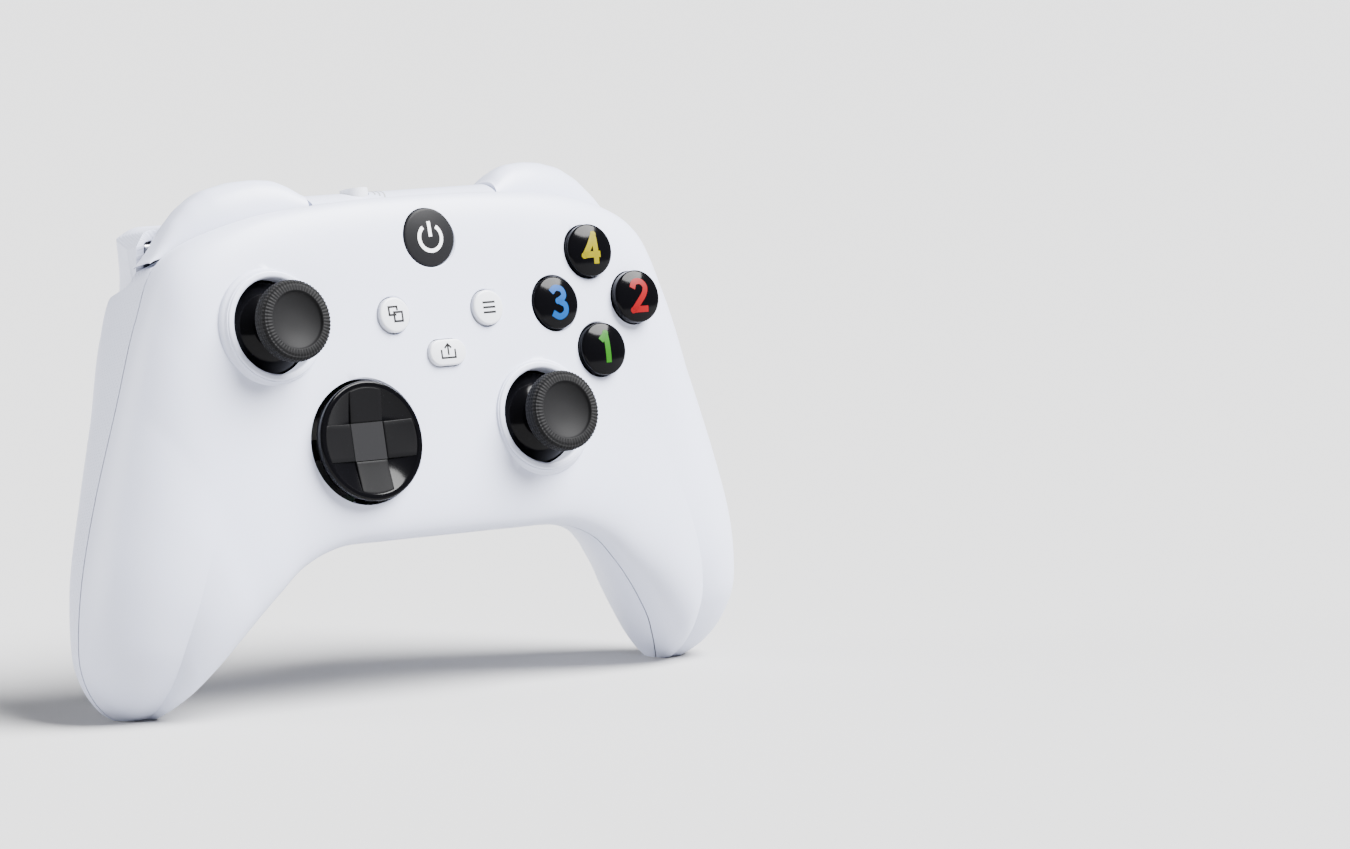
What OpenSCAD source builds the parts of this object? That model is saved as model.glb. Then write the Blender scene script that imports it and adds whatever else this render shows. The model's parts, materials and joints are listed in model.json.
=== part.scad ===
// Wireless gamepad standing on its two grips, face towards -Y and leaning back
// Pieces are drawn in the face frame: x right, y up to the bumpers, z out of the face

/* [Body] */
// Overall width across the grips
body_w = 153; // [146:1:162]
// Height from the grip tips to the top edge of the face
body_h = 96.6; // [94:0.2:101]
// Depth from the face to the back of the grips
body_d = 40; // [39:0.2:43]
// Wall of the moulded shells
wall = 2; // [1.7:0.1:2.3]
// Gap along the seams between shell pieces
seam = 0.2; // [0.1:0.05:0.35]
// Backward lean of the face
lean = 12; // [11:0.2:16]
// Depth of the flat on which each grip tip stands
tip_flat = 1.6; // [1.2:0.1:2]
// Fall of the face from its middle to the stick columns
face_fall = 1.7; // [1.2:0.1:2.2]

/* [Sticks] */
// Distance of the upper controls from the middle
stick_x = 38; // [37:0.25:40]
// Height of the left stick and the face buttons
stick_y = 19; // [18:0.25:21]
// Distance of the lower controls from the middle
pad_x = 21; // [20:0.25:23]
// Height of the right stick
low_stick_y = -3.2; // [-4:0.2:-2]
// Radius of the openings for the sticks
stick_hole_r = 9.4; // [9.2:0.1:10]
// Width of the raised ring round each stick opening
ring_w = 1.4; // [1:0.1:2]
// Height of the raised ring
ring_h = 1.1; // [0.6:0.1:1.2]
// Radius of the dome under a stick cap
dome_r = 10.7; // [10.4:0.1:10.9]
// Radius of a stick cap
cap_r = 8.05; // [7.5:0.05:8.3]
// Thickness of a stick cap
cap_t = 4.1; // [3.5:0.1:4.6]
// Height of a stick cap's underside over the face
cap_lift = 4.9; // [4.8:0.1:6]

/* [Buttons] */
// Height of the direction pad
dpad_y = -5.1; // [-6:0.1:-4.5]
// Radius of the direction pad
dpad_r = 11.8; // [11:0.1:12.2]
// Distance of each face button from the middle of the four
abxy_d = 10; // [9.6:0.1:10.6]
// Radius of a face button
abxy_r = 5.3; // [5:0.1:5.5]
// Travel of a face button
abxy_travel = 1.5; // [1:0.1:1.7]
// Distance of the two round centre buttons from the middle
view_x = 11.1; // [10:0.1:12]
// Height of the two round centre buttons
view_y = 19.1; // [18:0.1:20.5]
// Radius of a round centre button
view_r = 3.5; // [3:0.1:3.8]
// Height of the oblong centre button
share_y = 10.9; // [10:0.1:11.5]
// Height of the guide button
guide_y = 34; // [33.4:0.1:34.6]
// Radius of the guide button
guide_r = 5.8; // [5:0.1:6]
// Running gap round every button
button_gap = 0.2; // [0.15:0.05:0.3]

/* [Shoulder] */
// Half the width of the bridge between the bumpers
bridge_half = 22; // [21:0.25:22.4]
// Radius of the bridge's curve
bridge_r = 9.3; // [9:0.1:9.6]
// Distance of the trigger's middle from the middle of the body
trigger_x = 46; // [45.5:0.25:46.5]
// Radius from the trigger pin to the trigger's lip
trigger_r = 19.4; // [18.8:0.1:19.7]
// Distance from the trigger's middle to its inner end
trigger_half = 12.2; // [11.6:0.1:12.4]
// Distance from the trigger's middle to its outer end
trigger_out = 7.4; // [7:0.1:7.6]
// Radius of the trigger and bumper pins
pin_r = 1.2; // [1:0.05:1.4]
// Radial clearance of a part that turns on a pin
pin_fit = 0.06; // [0.03:0.01:0.1]
// Gap between a trigger and its collar
trigger_gap = 0.5; // [0.4:0.05:0.7]

/* [Inside] */
// Depth of the main board's face below the middle of the face
board_z = 13.2; // [13:0.1:13.6]
// Thickness of the boards
board_t = 1.2; // [0.8:0.1:1.4]
// Radius of a cell
cell_r = 7.1; // [6.9:0.1:7.2]
// Length of a cell
cell_l = 50; // [49:0.5:50.5]
// Radius of the headset jack's bore
jack_r = 1.8; // [1.75:0.05:1.9]
// Radius of the left rumble motor's weight
weight_r = 8; // [6.5:0.25:8.5]
// Gap between fixed pieces that sit on each other
seat = 0.2; // [0.1:0.05:0.3]

/* [Hidden] */
$fn = 48;

white = [0.90, 0.91, 0.94];
dark = [0.10, 0.10, 0.11];
grey = [0.45, 0.46, 0.48];
metal = [0.75, 0.76, 0.78];
green = [0.10, 0.35, 0.20];

kx = body_w / 153;
ky = body_h / 96.6;
kz = body_d / 40;

// Stations from the middle of the body down the right grip: outer rim, inner rim, front and rear ridge
rim_out = [[0, 43, -6], [20, 42.6, -6.4], [39, 40.7, -8.5], [54.2, 35.1, -13], [60.7, 23.5, -14.7],
    [66.3, 7, -17.2], [71.5, -10, -20.8], [75.3, -25, -23.4], [76.5, -37.5, -26], [75.2, -44, -27.8],
    [71.8, -49.2, -29.4], [67.5, -52.2, -30.4], [63, -53.6, -30.8]];
rim_in = [[0, -24.3, -6.6], [14.5, -24.3, -6.7], [26.5, -24.6, -7.1], [35, -27.6, -8.6], [41, -32.6, -10.8],
    [45.2, -36.7, -13], [49, -40.7, -15.5], [52.4, -44.6, -18.2], [56, -48.7, -22.5], [58, -50.6, -25.2],
    [59.7, -52, -27.6], [61.2, -53, -29.6], [63, -53.6, -30.8]];
front_ridge = [[0, 14, 0], [17.5, 14, -0.3], [33, 12, -1.1], [43.5, 5, -2.1], [49.5, -5.5, -3],
    [53.5, -15, -4], [57, -24.5, -5.2], [59.8, -33.2, -7.5], [61.7, -40.3, -11], [62.3, -45, -14.5],
    [62.6, -48.8, -18.8], [62.8, -51.6, -24], [63, -53.6, -30.8]];
rear_ridge = [[0, 20, -33], [19, 20.5, -33], [35.5, 23, -34.5], [46.5, 25.5, -39], [50.3, 18.5, -39.7],
    [52.2, 4.5, -39.5], [54.6, -8.5, -39.8], [56.8, -22, -40], [58.8, -36, -38.4], [59.7, -42.5, -37],
    [60.6, -47.2, -35.4], [61.6, -50.8, -33.4], [63, -53.6, -30.8]];
rib_step = 1 / 3;
rib_r = 0.5;
last_rib = 11.5;
quarter = 6;

function sized(p) = [p[0] * kx, p[1] * ky, p[2] * kz];
function mirrored(p) = [-p[0], p[1], p[2]];
function station(list, i) =
    i < 0 ? mirrored(sized(list[-i])) : sized(list[min(i, len(list) - 1)]);
// Smooth curve through the stations, mirrored on the left half
function right_curve(list, t) =
    let (i = floor(t), f = t - i)
    let (a = station(list, i - 1), b = station(list, i), c = station(list, i + 1), d = station(list, i + 2))
    0.5 * (2 * b + (c - a) * f + (2 * a - 5 * b + 4 * c - d) * f * f + (3 * b - a - 3 * c + d) * f * f * f);
function curve(list, t) = t < 0 ? mirrored(right_curve(list, -t)) : right_curve(list, t);
function flat(v) = [v[0], v[1], 0];
function blend(a, b, t) = a + (b - a) * min(1, max(0, t));
// Quarter of a superellipse from the rim to the ridge
function quarter_arc(rim, ridge, n, steps) =
    [for (k = [0:steps]) let (q = 90 * k / steps, a = 1 - pow(cos(q), 2 / n), b = pow(sin(q), 2 / n))
        [rim[0] + (ridge[0] - rim[0]) * a, rim[1] + (ridge[1] - rim[1]) * a, rim[2] + (ridge[2] - rim[2]) * b]];
// Rim and ridge drawn in by an inset, which shrinks where the grip closes
function drawn_in(rim, ridge, inset) =
    let (span = flat(ridge - rim), l = norm(span), d = min(inset, 0.4 * l)) rim + span / l * d;
function sunk(rim, ridge, inset) =
    let (h = ridge[2] - rim[2]) ridge - [0, 0, sign(h) * min(inset, 0.4 * abs(h))];
function half_rib(rims, ridges, t, n, inset, drop) =
    let (rim = curve(rims, t) - [0, 0, drop], ridge = curve(ridges, t))
    quarter_arc(drawn_in(rim, ridge, inset), sunk(rim, ridge, inset), n, quarter);
function front_n_out(t) = blend(4.5, 2.3, (abs(t) - 1) / 4);
function front_n_in(t) = blend(4.5, 2.5, (abs(t) - 1) / 7);
function rear_n_out(t) = blend(2.8, 2.1, abs(t) / 6);
function rear_n_in(t) = blend(1.9, 2.1, abs(t) / 5);
function backwards(list) = [for (i = [len(list) - 1:-1:0]) list[i]];
function tail(list, from) = [for (i = [from:len(list) - 1]) list[i]];
function front_rib(t, inset) = concat(half_rib(rim_out, front_ridge, t, front_n_out(t), inset, 0),
    tail(backwards(half_rib(rim_in, front_ridge, t, front_n_in(t), inset, 0)), 1));
function rear_out(t, inset) = half_rib(rim_out, rear_ridge, t, rear_n_out(t), inset, seam);
function rear_in(t, inset) = half_rib(rim_in, rear_ridge, t, rear_n_in(t), inset, seam);
function rear_rib(t, inset) = concat(rear_out(t, inset), tail(backwards(rear_in(t, inset)), 1));
function stops(a, b) = [for (i = [0:round((b - a) / rib_step)]) a + i * rib_step];
function face_z(x) = -face_fall * pow(x / 40, 2);

// Closed solid between two grids of points of the same size
module thick_patch(outer, inner) {
    n = len(outer);
    m = len(outer[0]);
    pts = concat([for (r = outer) each r], [for (r = inner) each r]);
    function a(i, k) = i * m + k;
    function b(i, k) = n * m + i * m + k;
    skins = [for (i = [0:n - 2]) for (k = [0:m - 2]) each [
        [a(i, k), a(i + 1, k), a(i + 1, k + 1)], [a(i, k), a(i + 1, k + 1), a(i, k + 1)],
        [b(i, k), b(i + 1, k + 1), b(i + 1, k)], [b(i, k), b(i, k + 1), b(i + 1, k + 1)]]];
    sides = [for (i = [0:n - 2]) each [
        [a(i, 0), b(i + 1, 0), a(i + 1, 0)], [a(i, 0), b(i, 0), b(i + 1, 0)],
        [a(i, m - 1), a(i + 1, m - 1), b(i + 1, m - 1)], [a(i, m - 1), b(i + 1, m - 1), b(i, m - 1)]]];
    ends = [for (k = [0:m - 2]) each [
        [a(0, k), a(0, k + 1), b(0, k + 1)], [a(0, k), b(0, k + 1), b(0, k)],
        [a(n - 1, k), b(n - 1, k + 1), a(n - 1, k + 1)], [a(n - 1, k), b(n - 1, k), b(n - 1, k + 1)]]];
    polyhedron(pts, concat(skins, sides, ends), convexity = 8);
}

// The part stands with its lowest flats on z = 0
tip = sized(rim_out[len(rim_out) - 1]);
lift = -(tip[1] * cos(lean) + tip[2] * sin(lean)) - tip_flat;
// The middle of the depth, between the lower stick's cap and the trigger's ridge, lies over y = 0
cap_round = 1.3;
pin_at = [38.5 * ky, -24];
trigger_at = trigger_x * kx;
lip_at = [-10.4, -16.4];
front_most = (low_stick_y - cap_r + cap_round) * sin(lean) - (face_z(pad_x) + cap_lift + cap_t) * cos(lean);
rear_most = (pin_at[0] + lip_at[0]) * sin(lean) - (pin_at[1] + lip_at[1]) * cos(lean);
module stand() translate([0, -(front_most + rear_most) / 2, lift]) rotate([90 - lean, 0, 0]) children();
module above_floor() {
    difference() {
        stand() children();
        translate([-body_w, -body_w, -body_d]) cube([2 * body_w, 2 * body_w, body_d]);
    }
}
module each_side(s) mirror([s < 0 ? 1 : 0, 0, 0]) children();
module along_x(w) rotate([90, 0, 90]) linear_extrude(w, center = true) children();
module rod_x(r, l) rotate([0, 90, 0]) cylinder(r = r, h = l, center = true);
module rod_y(r, l) rotate([90, 0, 0]) cylinder(r = r, h = l, center = true);
module block(lo, hi) translate(lo) cube(hi - lo);
module stadium(x, y, w, h, z, t) {
    translate([x, y, z]) hull() for (i = [-1, 1])
        translate([i * (w - h) / 2, 0, 0]) cylinder(d = h, h = t, $fn = 32);
}
// Tube of a wire along a list of points, closed at both ends
module wire(path, r, sides) {
    n = len(path);
    dirs = [for (i = [0:n - 1]) let (d = path[min(i + 1, n - 1)] - path[max(i - 1, 0)]) d / norm(d)];
    rings = [for (i = [0:n - 1]) let (u = cross(dirs[i], [1, 0, 0]), v = u / norm(u), w = cross(dirs[i], v))
        for (k = [0:sides - 1]) path[i] + r * (cos(360 * k / sides) * v + sin(360 * k / sides) * w)];
    walls = [for (i = [0:n - 2]) for (k = [0:sides - 1]) let (a = i * sides + k, b = i * sides + (k + 1) % sides)
        each [[a, b + sides, b], [a, a + sides, b + sides]]];
    polyhedron(rings, concat(walls, [[for (k = [0:sides - 1]) k]],
        [[for (k = [sides - 1:-1:0]) (n - 1) * sides + k]]), convexity = 10);
}

// Control sites: place and local height of the face
left_site = [-stick_x, stick_y, face_z(stick_x)];
right_site = [pad_x, low_stick_y, face_z(pad_x)];
dpad_site = [-pad_x, dpad_y, face_z(pad_x)];
abxy_site = [stick_x, stick_y, face_z(stick_x)];
share_site = [0, share_y, 0];
guide_site = [0, guide_y, -0.3];
share_w = 8.6;
share_h = 5.2;
pivot_drop = 8.2;
hole_deep = 12;
function compass(i) = [cos(90 * i), sin(90 * i)];
function abxy(i) = abxy_site + [abxy_d * compass(i)[0], abxy_d * compass(i)[1], 0];
function view(s) = [s * view_x, view_y, face_z(view_x)];

// Flared round opening through the face
module face_hole(site, r, flare) {
    translate(site) hull() {
        translate([0, 0, -hole_deep]) cylinder(r = r, h = 1, $fn = 40);
        translate([0, 0, 0.3]) cylinder(r = r, h = 0.1, $fn = 40);
        translate([0, 0, 3]) cylinder(r = r + flare, h = 0.1, $fn = 40);
    }
}
dpad_gap = 0.6;
module front_shell() {
    ribs = stops(-last_rib + 1 / 6, last_rib);
    color(white) above_floor() difference() {
        union() {
            thick_patch([for (t = ribs) front_rib(t, 0)], [for (t = ribs) front_rib(t, wall)]);
            for (site = [left_site, right_site])
                translate(site - [0, 0, wall]) cylinder(r = stick_hole_r + ring_w, h = wall + ring_h);
        }
        for (site = [left_site, right_site]) {
            face_hole(site, stick_hole_r, ring_w / 2);
            translate(site - [0, 0, pivot_drop]) sphere(r = dome_r + 0.5);
        }
        face_hole(dpad_site, dpad_r + dpad_gap, 0.4);
        for (i = [0:3]) face_hole(abxy(i), abxy_r + button_gap, 0.2);
        for (s = [-1, 1]) face_hole(view(s), view_r + button_gap, 0.2);
        stadium(0, share_y, share_w + 2 * button_gap, share_h + 2 * button_gap, -hole_deep, hole_deep + 3);
        face_hole(guide_site, guide_r + button_gap, 0.2);
    }
}

// Trigger pocket: a barrel round the trigger pin, so the trigger turns inside it
barrel_round = 8;
module barrel(r, half) {
    translate([trigger_at, pin_at[0], pin_at[1]]) rotate([0, 90, 0]) rotate_extrude() union() {
        translate([0, -half + barrel_round]) square([r, 2 * (half - barrel_round)]);
        translate([0, -half]) square([r - barrel_round, 2 * half]);
        for (i = [-1, 1]) translate([r - barrel_round, i * (half - barrel_round)]) circle(r = barrel_round);
    }
}
module trigger_pockets() {
    for (s = [-1, 1]) each_side(s) intersection() {
        barrel(trigger_r + trigger_gap, trigger_half + trigger_gap);
        block([0, 0, -body_w], [trigger_at + trigger_out + trigger_gap, body_w, body_w]);
    }
}
// Collar: the shells end below a slanted edge round each trigger
collar_x = trigger_at - trigger_half;
collar = [[33.5 * ky, 0], [33.5 * ky, -17.6], [32.1 * ky, -20.3], [31 * ky, -23.3], [30.5 * ky, -28],
    [30.2 * ky, -36.4], [25.5 * ky, -46], [22 * ky, -60], [body_h, -60], [body_h, 0]];
module collar_cut() {
    for (s = [-1, 1]) each_side(s) translate([(collar_x + body_w) / 2, 0, 0]) along_x(body_w - collar_x)
        polygon(collar);
}
// Room above the rear shell for the bridge and the bumpers
shoulder_z = -20.2;
shoulder_y = 36;
module shoulder_room() block([-body_w, shoulder_y, shoulder_z], [body_w, body_h, 0]);

door_top = 41.5;
door_low = 0;
door_half = 28.5;
door_corner = 3.5;
door_t = 1.8;
module door_plan(grow) {
    hull() {
        for (s = [-1, 1]) {
            translate([s * (door_half - door_corner), door_low + door_corner, -body_d * 1.2])
                cylinder(r = door_corner + grow, h = body_d, $fn = 24);
            translate([s * (door_half - 1), door_top + 4, -body_d * 1.2])
                cylinder(r = 1 + grow, h = body_d, $fn = 24);
        }
    }
}
jack_at = [6, -12.5];
port_at = [-9, -12.5];
jack_d = 6.4;
port_w = 13;
port_h = 4.4;
slot_y = -9;
module rear_shell() {
    ribs = stops(-last_rib + 1 / 6, last_rib);
    tops = stops(-3, 3);
    color(white) above_floor() difference() {
        union() {
            thick_patch([for (t = ribs) tail(rear_rib(t, wall), quarter)],
                [for (t = ribs) tail(rear_rib(t, 0), quarter)]);
            thick_patch([for (t = tops) rear_short(t, wall)], [for (t = tops) rear_short(t, 0)]);
            for (s = [-1, 1]) for (t = [0.8, 1.1, 1.4, 1.7])
                inner_rib(rear_in(s * t, wall)[1], rear_in(s * t, wall)[2]);
        }
        door_plan(seam);
        shoulder_room();
        collar_cut();
        trigger_pockets();
        translate([0, 0, seam]) stadium(0, slot_y, 8, 1.6, -32, 8.6);
        // jack and expansion openings in the underside
        translate([jack_at[0], -24, jack_at[1]]) rod_y(jack_d / 2 + seam, 12);
        translate([port_at[0], -24, port_at[1]]) rotate([90, 0, 0])
            translate([0, 0, -6]) stadium(0, 0, port_w + 2 * seam, port_h + 2 * seam, 0, 12);
    }
}
function rear_short(t, inset) = let (r = rear_rib(t, inset)) [for (k = [0:quarter + 1]) r[k]];
// Stiffening rib along the inside of a shell, between two points of its inner face
module inner_rib(p, q) {
    hull() for (at = [p, q]) translate(at) sphere(r = rib_r, $fn = 12);
}

grip_from = 3.1;
module side_grip() {
    ribs = stops(grip_from, last_rib);
    above_floor() difference() {
        union() {
            thick_patch([for (t = ribs) grip_rib(t, wall)], [for (t = ribs) grip_rib(t, 0)]);
            for (k = [0:7]) inner_rib(rear_out(5 + 0.6 * k, wall)[2], rear_out(5 + 0.6 * k, wall)[4]);
        }
        trigger_pockets();
        collar_cut();
    }
    above_floor() corner_lip();
}
// Lip at the top of a side grip, below the outer end of the bumper
module corner_lip() {
    ribs = stops(grip_from - 2 * rib_step, grip_from + 5 * rib_step);
    top = [[44, 36], [50, 35.6], [53, 34.5], [56, 33.5], [58, 33.2], [66, 33.2]];
    foot = 15;
    intersection() {
        thick_patch([for (t = ribs) rear_out(t, wall)], [for (t = ribs) rear_out(t, 0)]);
        translate([0, 0, shoulder_z - 0.7]) linear_extrude(body_d)
            polygon([for (p = concat([[44, foot]], top, [[66, foot]])) [p[0] * kx, p[1] * ky]]);
    }
}
function grip_rib(t, inset) =
    let (r = rear_out(t, inset), o = curve(rim_out, t), v = flat(o - curve(rear_ridge, t)))
    [for (k = [0:quarter]) k < quarter ? r[k] : r[k] + v / norm(v) * min(seam, 0.3 * norm(v))];
module left_side_grip() color(white) mirror([1, 0, 0]) side_grip();
module right_side_grip() color(white) side_grip();

module battery_cover() {
    tops = stops(-3, 3);
    color(white) stand() {
        difference() {
            intersection() {
                thick_patch([for (t = tops) rear_rib(t, door_t)], [for (t = tops) rear_rib(t, 0)]);
                door_plan(0);
            }
            block([-body_w, shoulder_y, shoulder_z - seam], [body_w, body_h, 0]);
            for (i = [-1, 1]) translate([0, cell_y + i * cell_pitch / 2, cell_z])
                rod_x(cell_r + bay_gap, cell_l);
        }
        for (k = [-4:4]) inner_rib(rear_out((k - 0.3) / 3, door_t)[2], rear_out((k + 0.3) / 3, door_t)[2]);
    }
}

bridge_at = [36 * ky, -13];
bridge_t = 1.8;
usb_turn = 20;
module bridge_point(turn) translate([0, bridge_at[0], bridge_at[1]]) rotate([-90 - turn, 0, 0]) children();
usb_w = 8.4;
usb_h = 2.7;
usb_l = 6.3;
pair_x = -9;
pair_r = 2.8;
module top_bridge() {
    color(white) stand() difference() {
        intersection() {
            translate([0, bridge_at[0], bridge_at[1]]) rod_x(bridge_r, 2 * (bridge_half - seam));
            block([-body_w, shoulder_y, shoulder_z + seam], [body_w, body_h, -6.8 * kz]);
        }
        translate([0, bridge_at[0], bridge_at[1]]) rod_x(bridge_r - bridge_t, 3 * bridge_half);
        block([-body_w, shoulder_y - 1, shoulder_z], [body_w, bridge_at[0] + 2, 0]);
        bridge_point(usb_turn) usb_outline(bridge_r, 0.3);
        translate([pair_x, bridge_at[0] + bridge_r, bridge_at[1] + 2])
            rod_y(pair_r + button_gap, 2 * bridge_r - 6);
    }
}
// Plug-shaped outline pointing out of the bridge
module usb_outline(length, grow) {
    for (i = [-1, 1]) translate([i * (usb_w - usb_h) / 2, 0, length / 2])
        cylinder(d = usb_h + 2 * grow, h = length);
    translate([-(usb_w - usb_h) / 2, -usb_h / 2 - grow, length / 2])
        cube([usb_w - usb_h, usb_h + 2 * grow, length]);
}
module usb_port() {
    color(metal) stand() bridge_point(usb_turn) difference() {
        translate([0, 0, bridge_r - usb_l]) usb_solid(usb_l - 0.4, usb_h);
        translate([0, 0, bridge_r - usb_l + 0.6]) usb_solid(usb_l, usb_h - 0.6);
    }
}
module usb_solid(length, thick) {
    for (i = [-1, 1]) translate([i * (usb_w - usb_h) / 2, 0, 0]) cylinder(d = thick, h = length);
    translate([-(usb_w - usb_h) / 2, -thick / 2, 0]) cube([usb_w - usb_h, thick, length]);
}
module pair_button() {
    y = bridge_at[0] + bridge_r;
    color(white) stand() translate([pair_x, y - 1.2, bridge_at[1] + 2]) union() {
        rod_y(pair_r, 3.4);
        translate([0, -1.7, 0]) rod_y(pair_r - 0.8, 1.6);
    }
}

// Bumper hinge: a carrier with forks, and a pin through each bumper's boss
hinge_x = 25.2;
hinge_y = 39.4 * ky;
fork_z = [-17.5, -9.5];
fork_t = 1.6;
module bumper_carrier() {
    color(grey) stand() {
        block([-hinge_x + 3.6, hinge_y - 1.6, fork_z[0]], [hinge_x - 3.6, hinge_y + 1, fork_z[0] + 1]);
        for (s = [-1, 1]) each_side(s) {
            for (z = [fork_z[0], fork_z[1] - fork_t]) block([hinge_x - 3.7, hinge_y - 1.6, z],
                [hinge_x + 2, hinge_y + 1, z + fork_t]);
            translate([hinge_x, hinge_y, fork_z[0]]) cylinder(r = pin_r, h = fork_z[1] - fork_z[0]);
            block([7, hinge_y - 1.6, fork_z[0]], [hinge_x - 3.5, hinge_y + 1, fork_z[1]]);
        }
    }
}
// Bumper sections along x: crest height, and the rear edge's height and depth
bumper_end = 56;
bumper_tuck = [[50, -0.8], [54, -0.2], [bumper_end, 1.3]];
crest = [[22.4, 45.4], [25, 47.4], [28, 48.8], [32, 49.3], [37, 49.2], [42, 48], [46, 45.6], [50, 42],
    [53, 38.2], [bumper_end, 34.8]];
rear_edge = [[22.4, 41.6, -19.8], [28, 41.4, -19.8], [33, 41.6, -19.8], [37, 43, -22.6], [42, 43.4, -23.2],
    [46, 41.8, -22], [50, 38.4, -21.3], [53, 35.6, -20.9], [bumper_end, 34.3, -20.8]];
function at_x(list, x, c) = lookup(x, [for (p = list) [p[0], p[c]]]);
bumper_t = 2;
function rim_at(x) = let (t = lookup(x, [for (i = [0:16]) [right_curve(rim_out, i / 4)[0], i / 4]]))
    right_curve(rim_out, t);
bumper_steps = 8;
function bumper_arc(x, thick) =
    let (inset = thick * lookup(x, [[46, 1], [bumper_end, 0.2]]))
    let (f = rim_at(x * kx), a = [f[1] + lookup(x, bumper_tuck), f[2] - seam - 0.15 - inset])
    let (b = [at_x(rear_edge, x, 1) * ky, at_x(rear_edge, x, 2) + inset])
    let (top = at_x(crest, x, 1) * ky - inset, mid = (a[1] + b[1]) / 2 + 1.2)
    [for (k = [0:bumper_steps]) let (q = 180 * k / bumper_steps, e = q <= 90 ? a : b)
        let (c = pow(abs(cos(q)), 0.85), h = pow(sin(q), 0.7))
        [x * kx, e[0] + (top - e[0]) * h, mid + (e[1] - mid) * c]];
module bumper() {
    xs = [for (i = [0:17]) 22.4 + (bumper_end - 22.4) * i / 17];
    difference() {
        union() {
            thick_patch([for (x = xs) backwards(bumper_arc(x, 0))],
                [for (x = xs) backwards(bumper_arc(x, bumper_t))]);
            translate([hinge_x, hinge_y, -15.6]) cylinder(r = 2.3, h = 4.4);
            block([hinge_x - 1.5, hinge_y, -15.6], [hinge_x + 1.5, 46 * ky, -11.2]);
        }
        translate([hinge_x, hinge_y, -25]) cylinder(r = pin_r + pin_fit, h = 20);
    }
}
module left_bumper() color(white) stand() mirror([1, 0, 0]) bumper();
module right_bumper() color(white) stand() bumper();

// Trigger: a slice of the barrel with two ears on the pin
ear_in = [trigger_at - 8.5, trigger_at - 4.9];
ear_out = [trigger_at + 2.2, trigger_at + 5.2];
bracket = [trigger_at - 2.4, trigger_at + 1.8];
trigger_wall = 1.8;
// A trigger narrows from the pin back to its ridge, and its top falls away on the outer side
module trigger_taper(inset) {
    y = pin_at[0];
    z = pin_at[1];
    wide = [trigger_at - trigger_half + 0.1 + inset, trigger_at + trigger_out - inset];
    narrow = [trigger_at - 9.5 + inset, trigger_at + 3.5 - inset];
    plan = [[wide[0], z + 8], [wide[0], z - 2], [narrow[0], z - 15], [narrow[0], z - 20], [narrow[1], z - 20],
        [narrow[1], z - 15], [wide[1], z - 2], [wide[1], z + 1.3], [trigger_at - 4, z + 1.3],
        [trigger_at - 6, z + 8]];
    top = [[0, 0], [0, y + 6.2 - inset], [trigger_at + 1, y + 6.2 - inset], [trigger_at + 5, y + 3.6 - inset],
        [trigger_at + 8, y - 0.5 - inset], [trigger_at + 12.5, y - 6 - inset], [trigger_at + 12.5, 0]];
    intersection() {
        translate([0, y + 10, 0]) rotate([90, 0, 0]) linear_extrude(40) polygon(plan);
        translate([0, 0, -60]) linear_extrude(60) polygon(top);
    }
}
slot_r = 3;
module trigger() {
    y = pin_at[0];
    z = pin_at[1];
    horn = [[4.6, -4, 0], [5.5, -7.6, 0], [5, -9.4, 0], [3.2, -9.9, 0], [0, -10.2, 0],
        [-4, -11.2, 0], [-8, -13.8, 0], [lip_at[0], lip_at[1], 0], [-12.4, -17.2, 0], [-15, -16.6, 0]];
    back = [for (i = [0:2 * (len(horn) - 1)]) let (h = right_curve(horn, i / 2)) [y + h[0], z + h[1]]];
    side_view = concat([[y + 3.2, z + 3]], back, [[y - 20, z - 6], [y - 17, z - 4.5], [y - 3, z + 2]]);
    hollow = [[y + 1.6, z + 6], [y + 3.2, z - 6.6], [y + 2.2, z - 7.9], [y - 1, z - 8.3], [y - 4.6, z - 9.3],
        [y - 8.6, z - 11.8], [y - 11, z - 14], [y - 14, z - 13.4], [y - 17.3, z - 5], [y - 16, z + 6]];
    difference() {
        intersection() {
            barrel(trigger_r, trigger_half);
            along_x(4 * trigger_at) polygon(side_view);
            trigger_taper(0);
        }
        difference() {
            intersection() {
                barrel(trigger_r - trigger_wall, trigger_half - trigger_wall);
                along_x(4 * trigger_at) polygon(hollow);
                trigger_taper(trigger_wall);
            }
            for (e = [ear_in, ear_out]) translate([(e[0] + e[1]) / 2, y, z]) rod_x(slot_r, e[1] - e[0]);
        }
        translate([(ear_in[1] + ear_out[0]) / 2, y, z]) rod_x(slot_r, ear_out[0] - ear_in[1]);
        block([ear_in[1], y - 8, z], [ear_out[0], y + 2.3, 0]);
        translate([trigger_at, y, z]) rod_x(pin_r + pin_fit, 40);
    }
}
module left_trigger() color(white) stand() mirror([1, 0, 0]) trigger();
module right_trigger() color(white) stand() trigger();
module trigger_pin() {
    stand() translate([(ear_in[0] + ear_out[1]) / 2, pin_at[0], pin_at[1]]) rod_x(pin_r, ear_out[1] - ear_in[0]);
}
module left_trigger_pin() color(metal) mirror([1, 0, 0]) trigger_pin();
module right_trigger_pin() color(metal) trigger_pin();
spring_r = 1.85;
spring_wire = 0.25;
module trigger_spring() {
    turns = 3;
    coil = [for (i = [0:turns * 12]) let (q = 30 * i) [trigger_at - 4.4 + 0.55 * i / 12, pin_at[0] + spring_r * cos(q),
        pin_at[1] + spring_r * sin(q)]];
    leg = coil[len(coil) - 1] + [0, 0, 4];
    stand() wire(concat(coil, [leg]), spring_wire, 6);
}
module left_trigger_spring() color(metal) mirror([1, 0, 0]) trigger_spring();
module right_trigger_spring() color(metal) trigger_spring();

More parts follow.
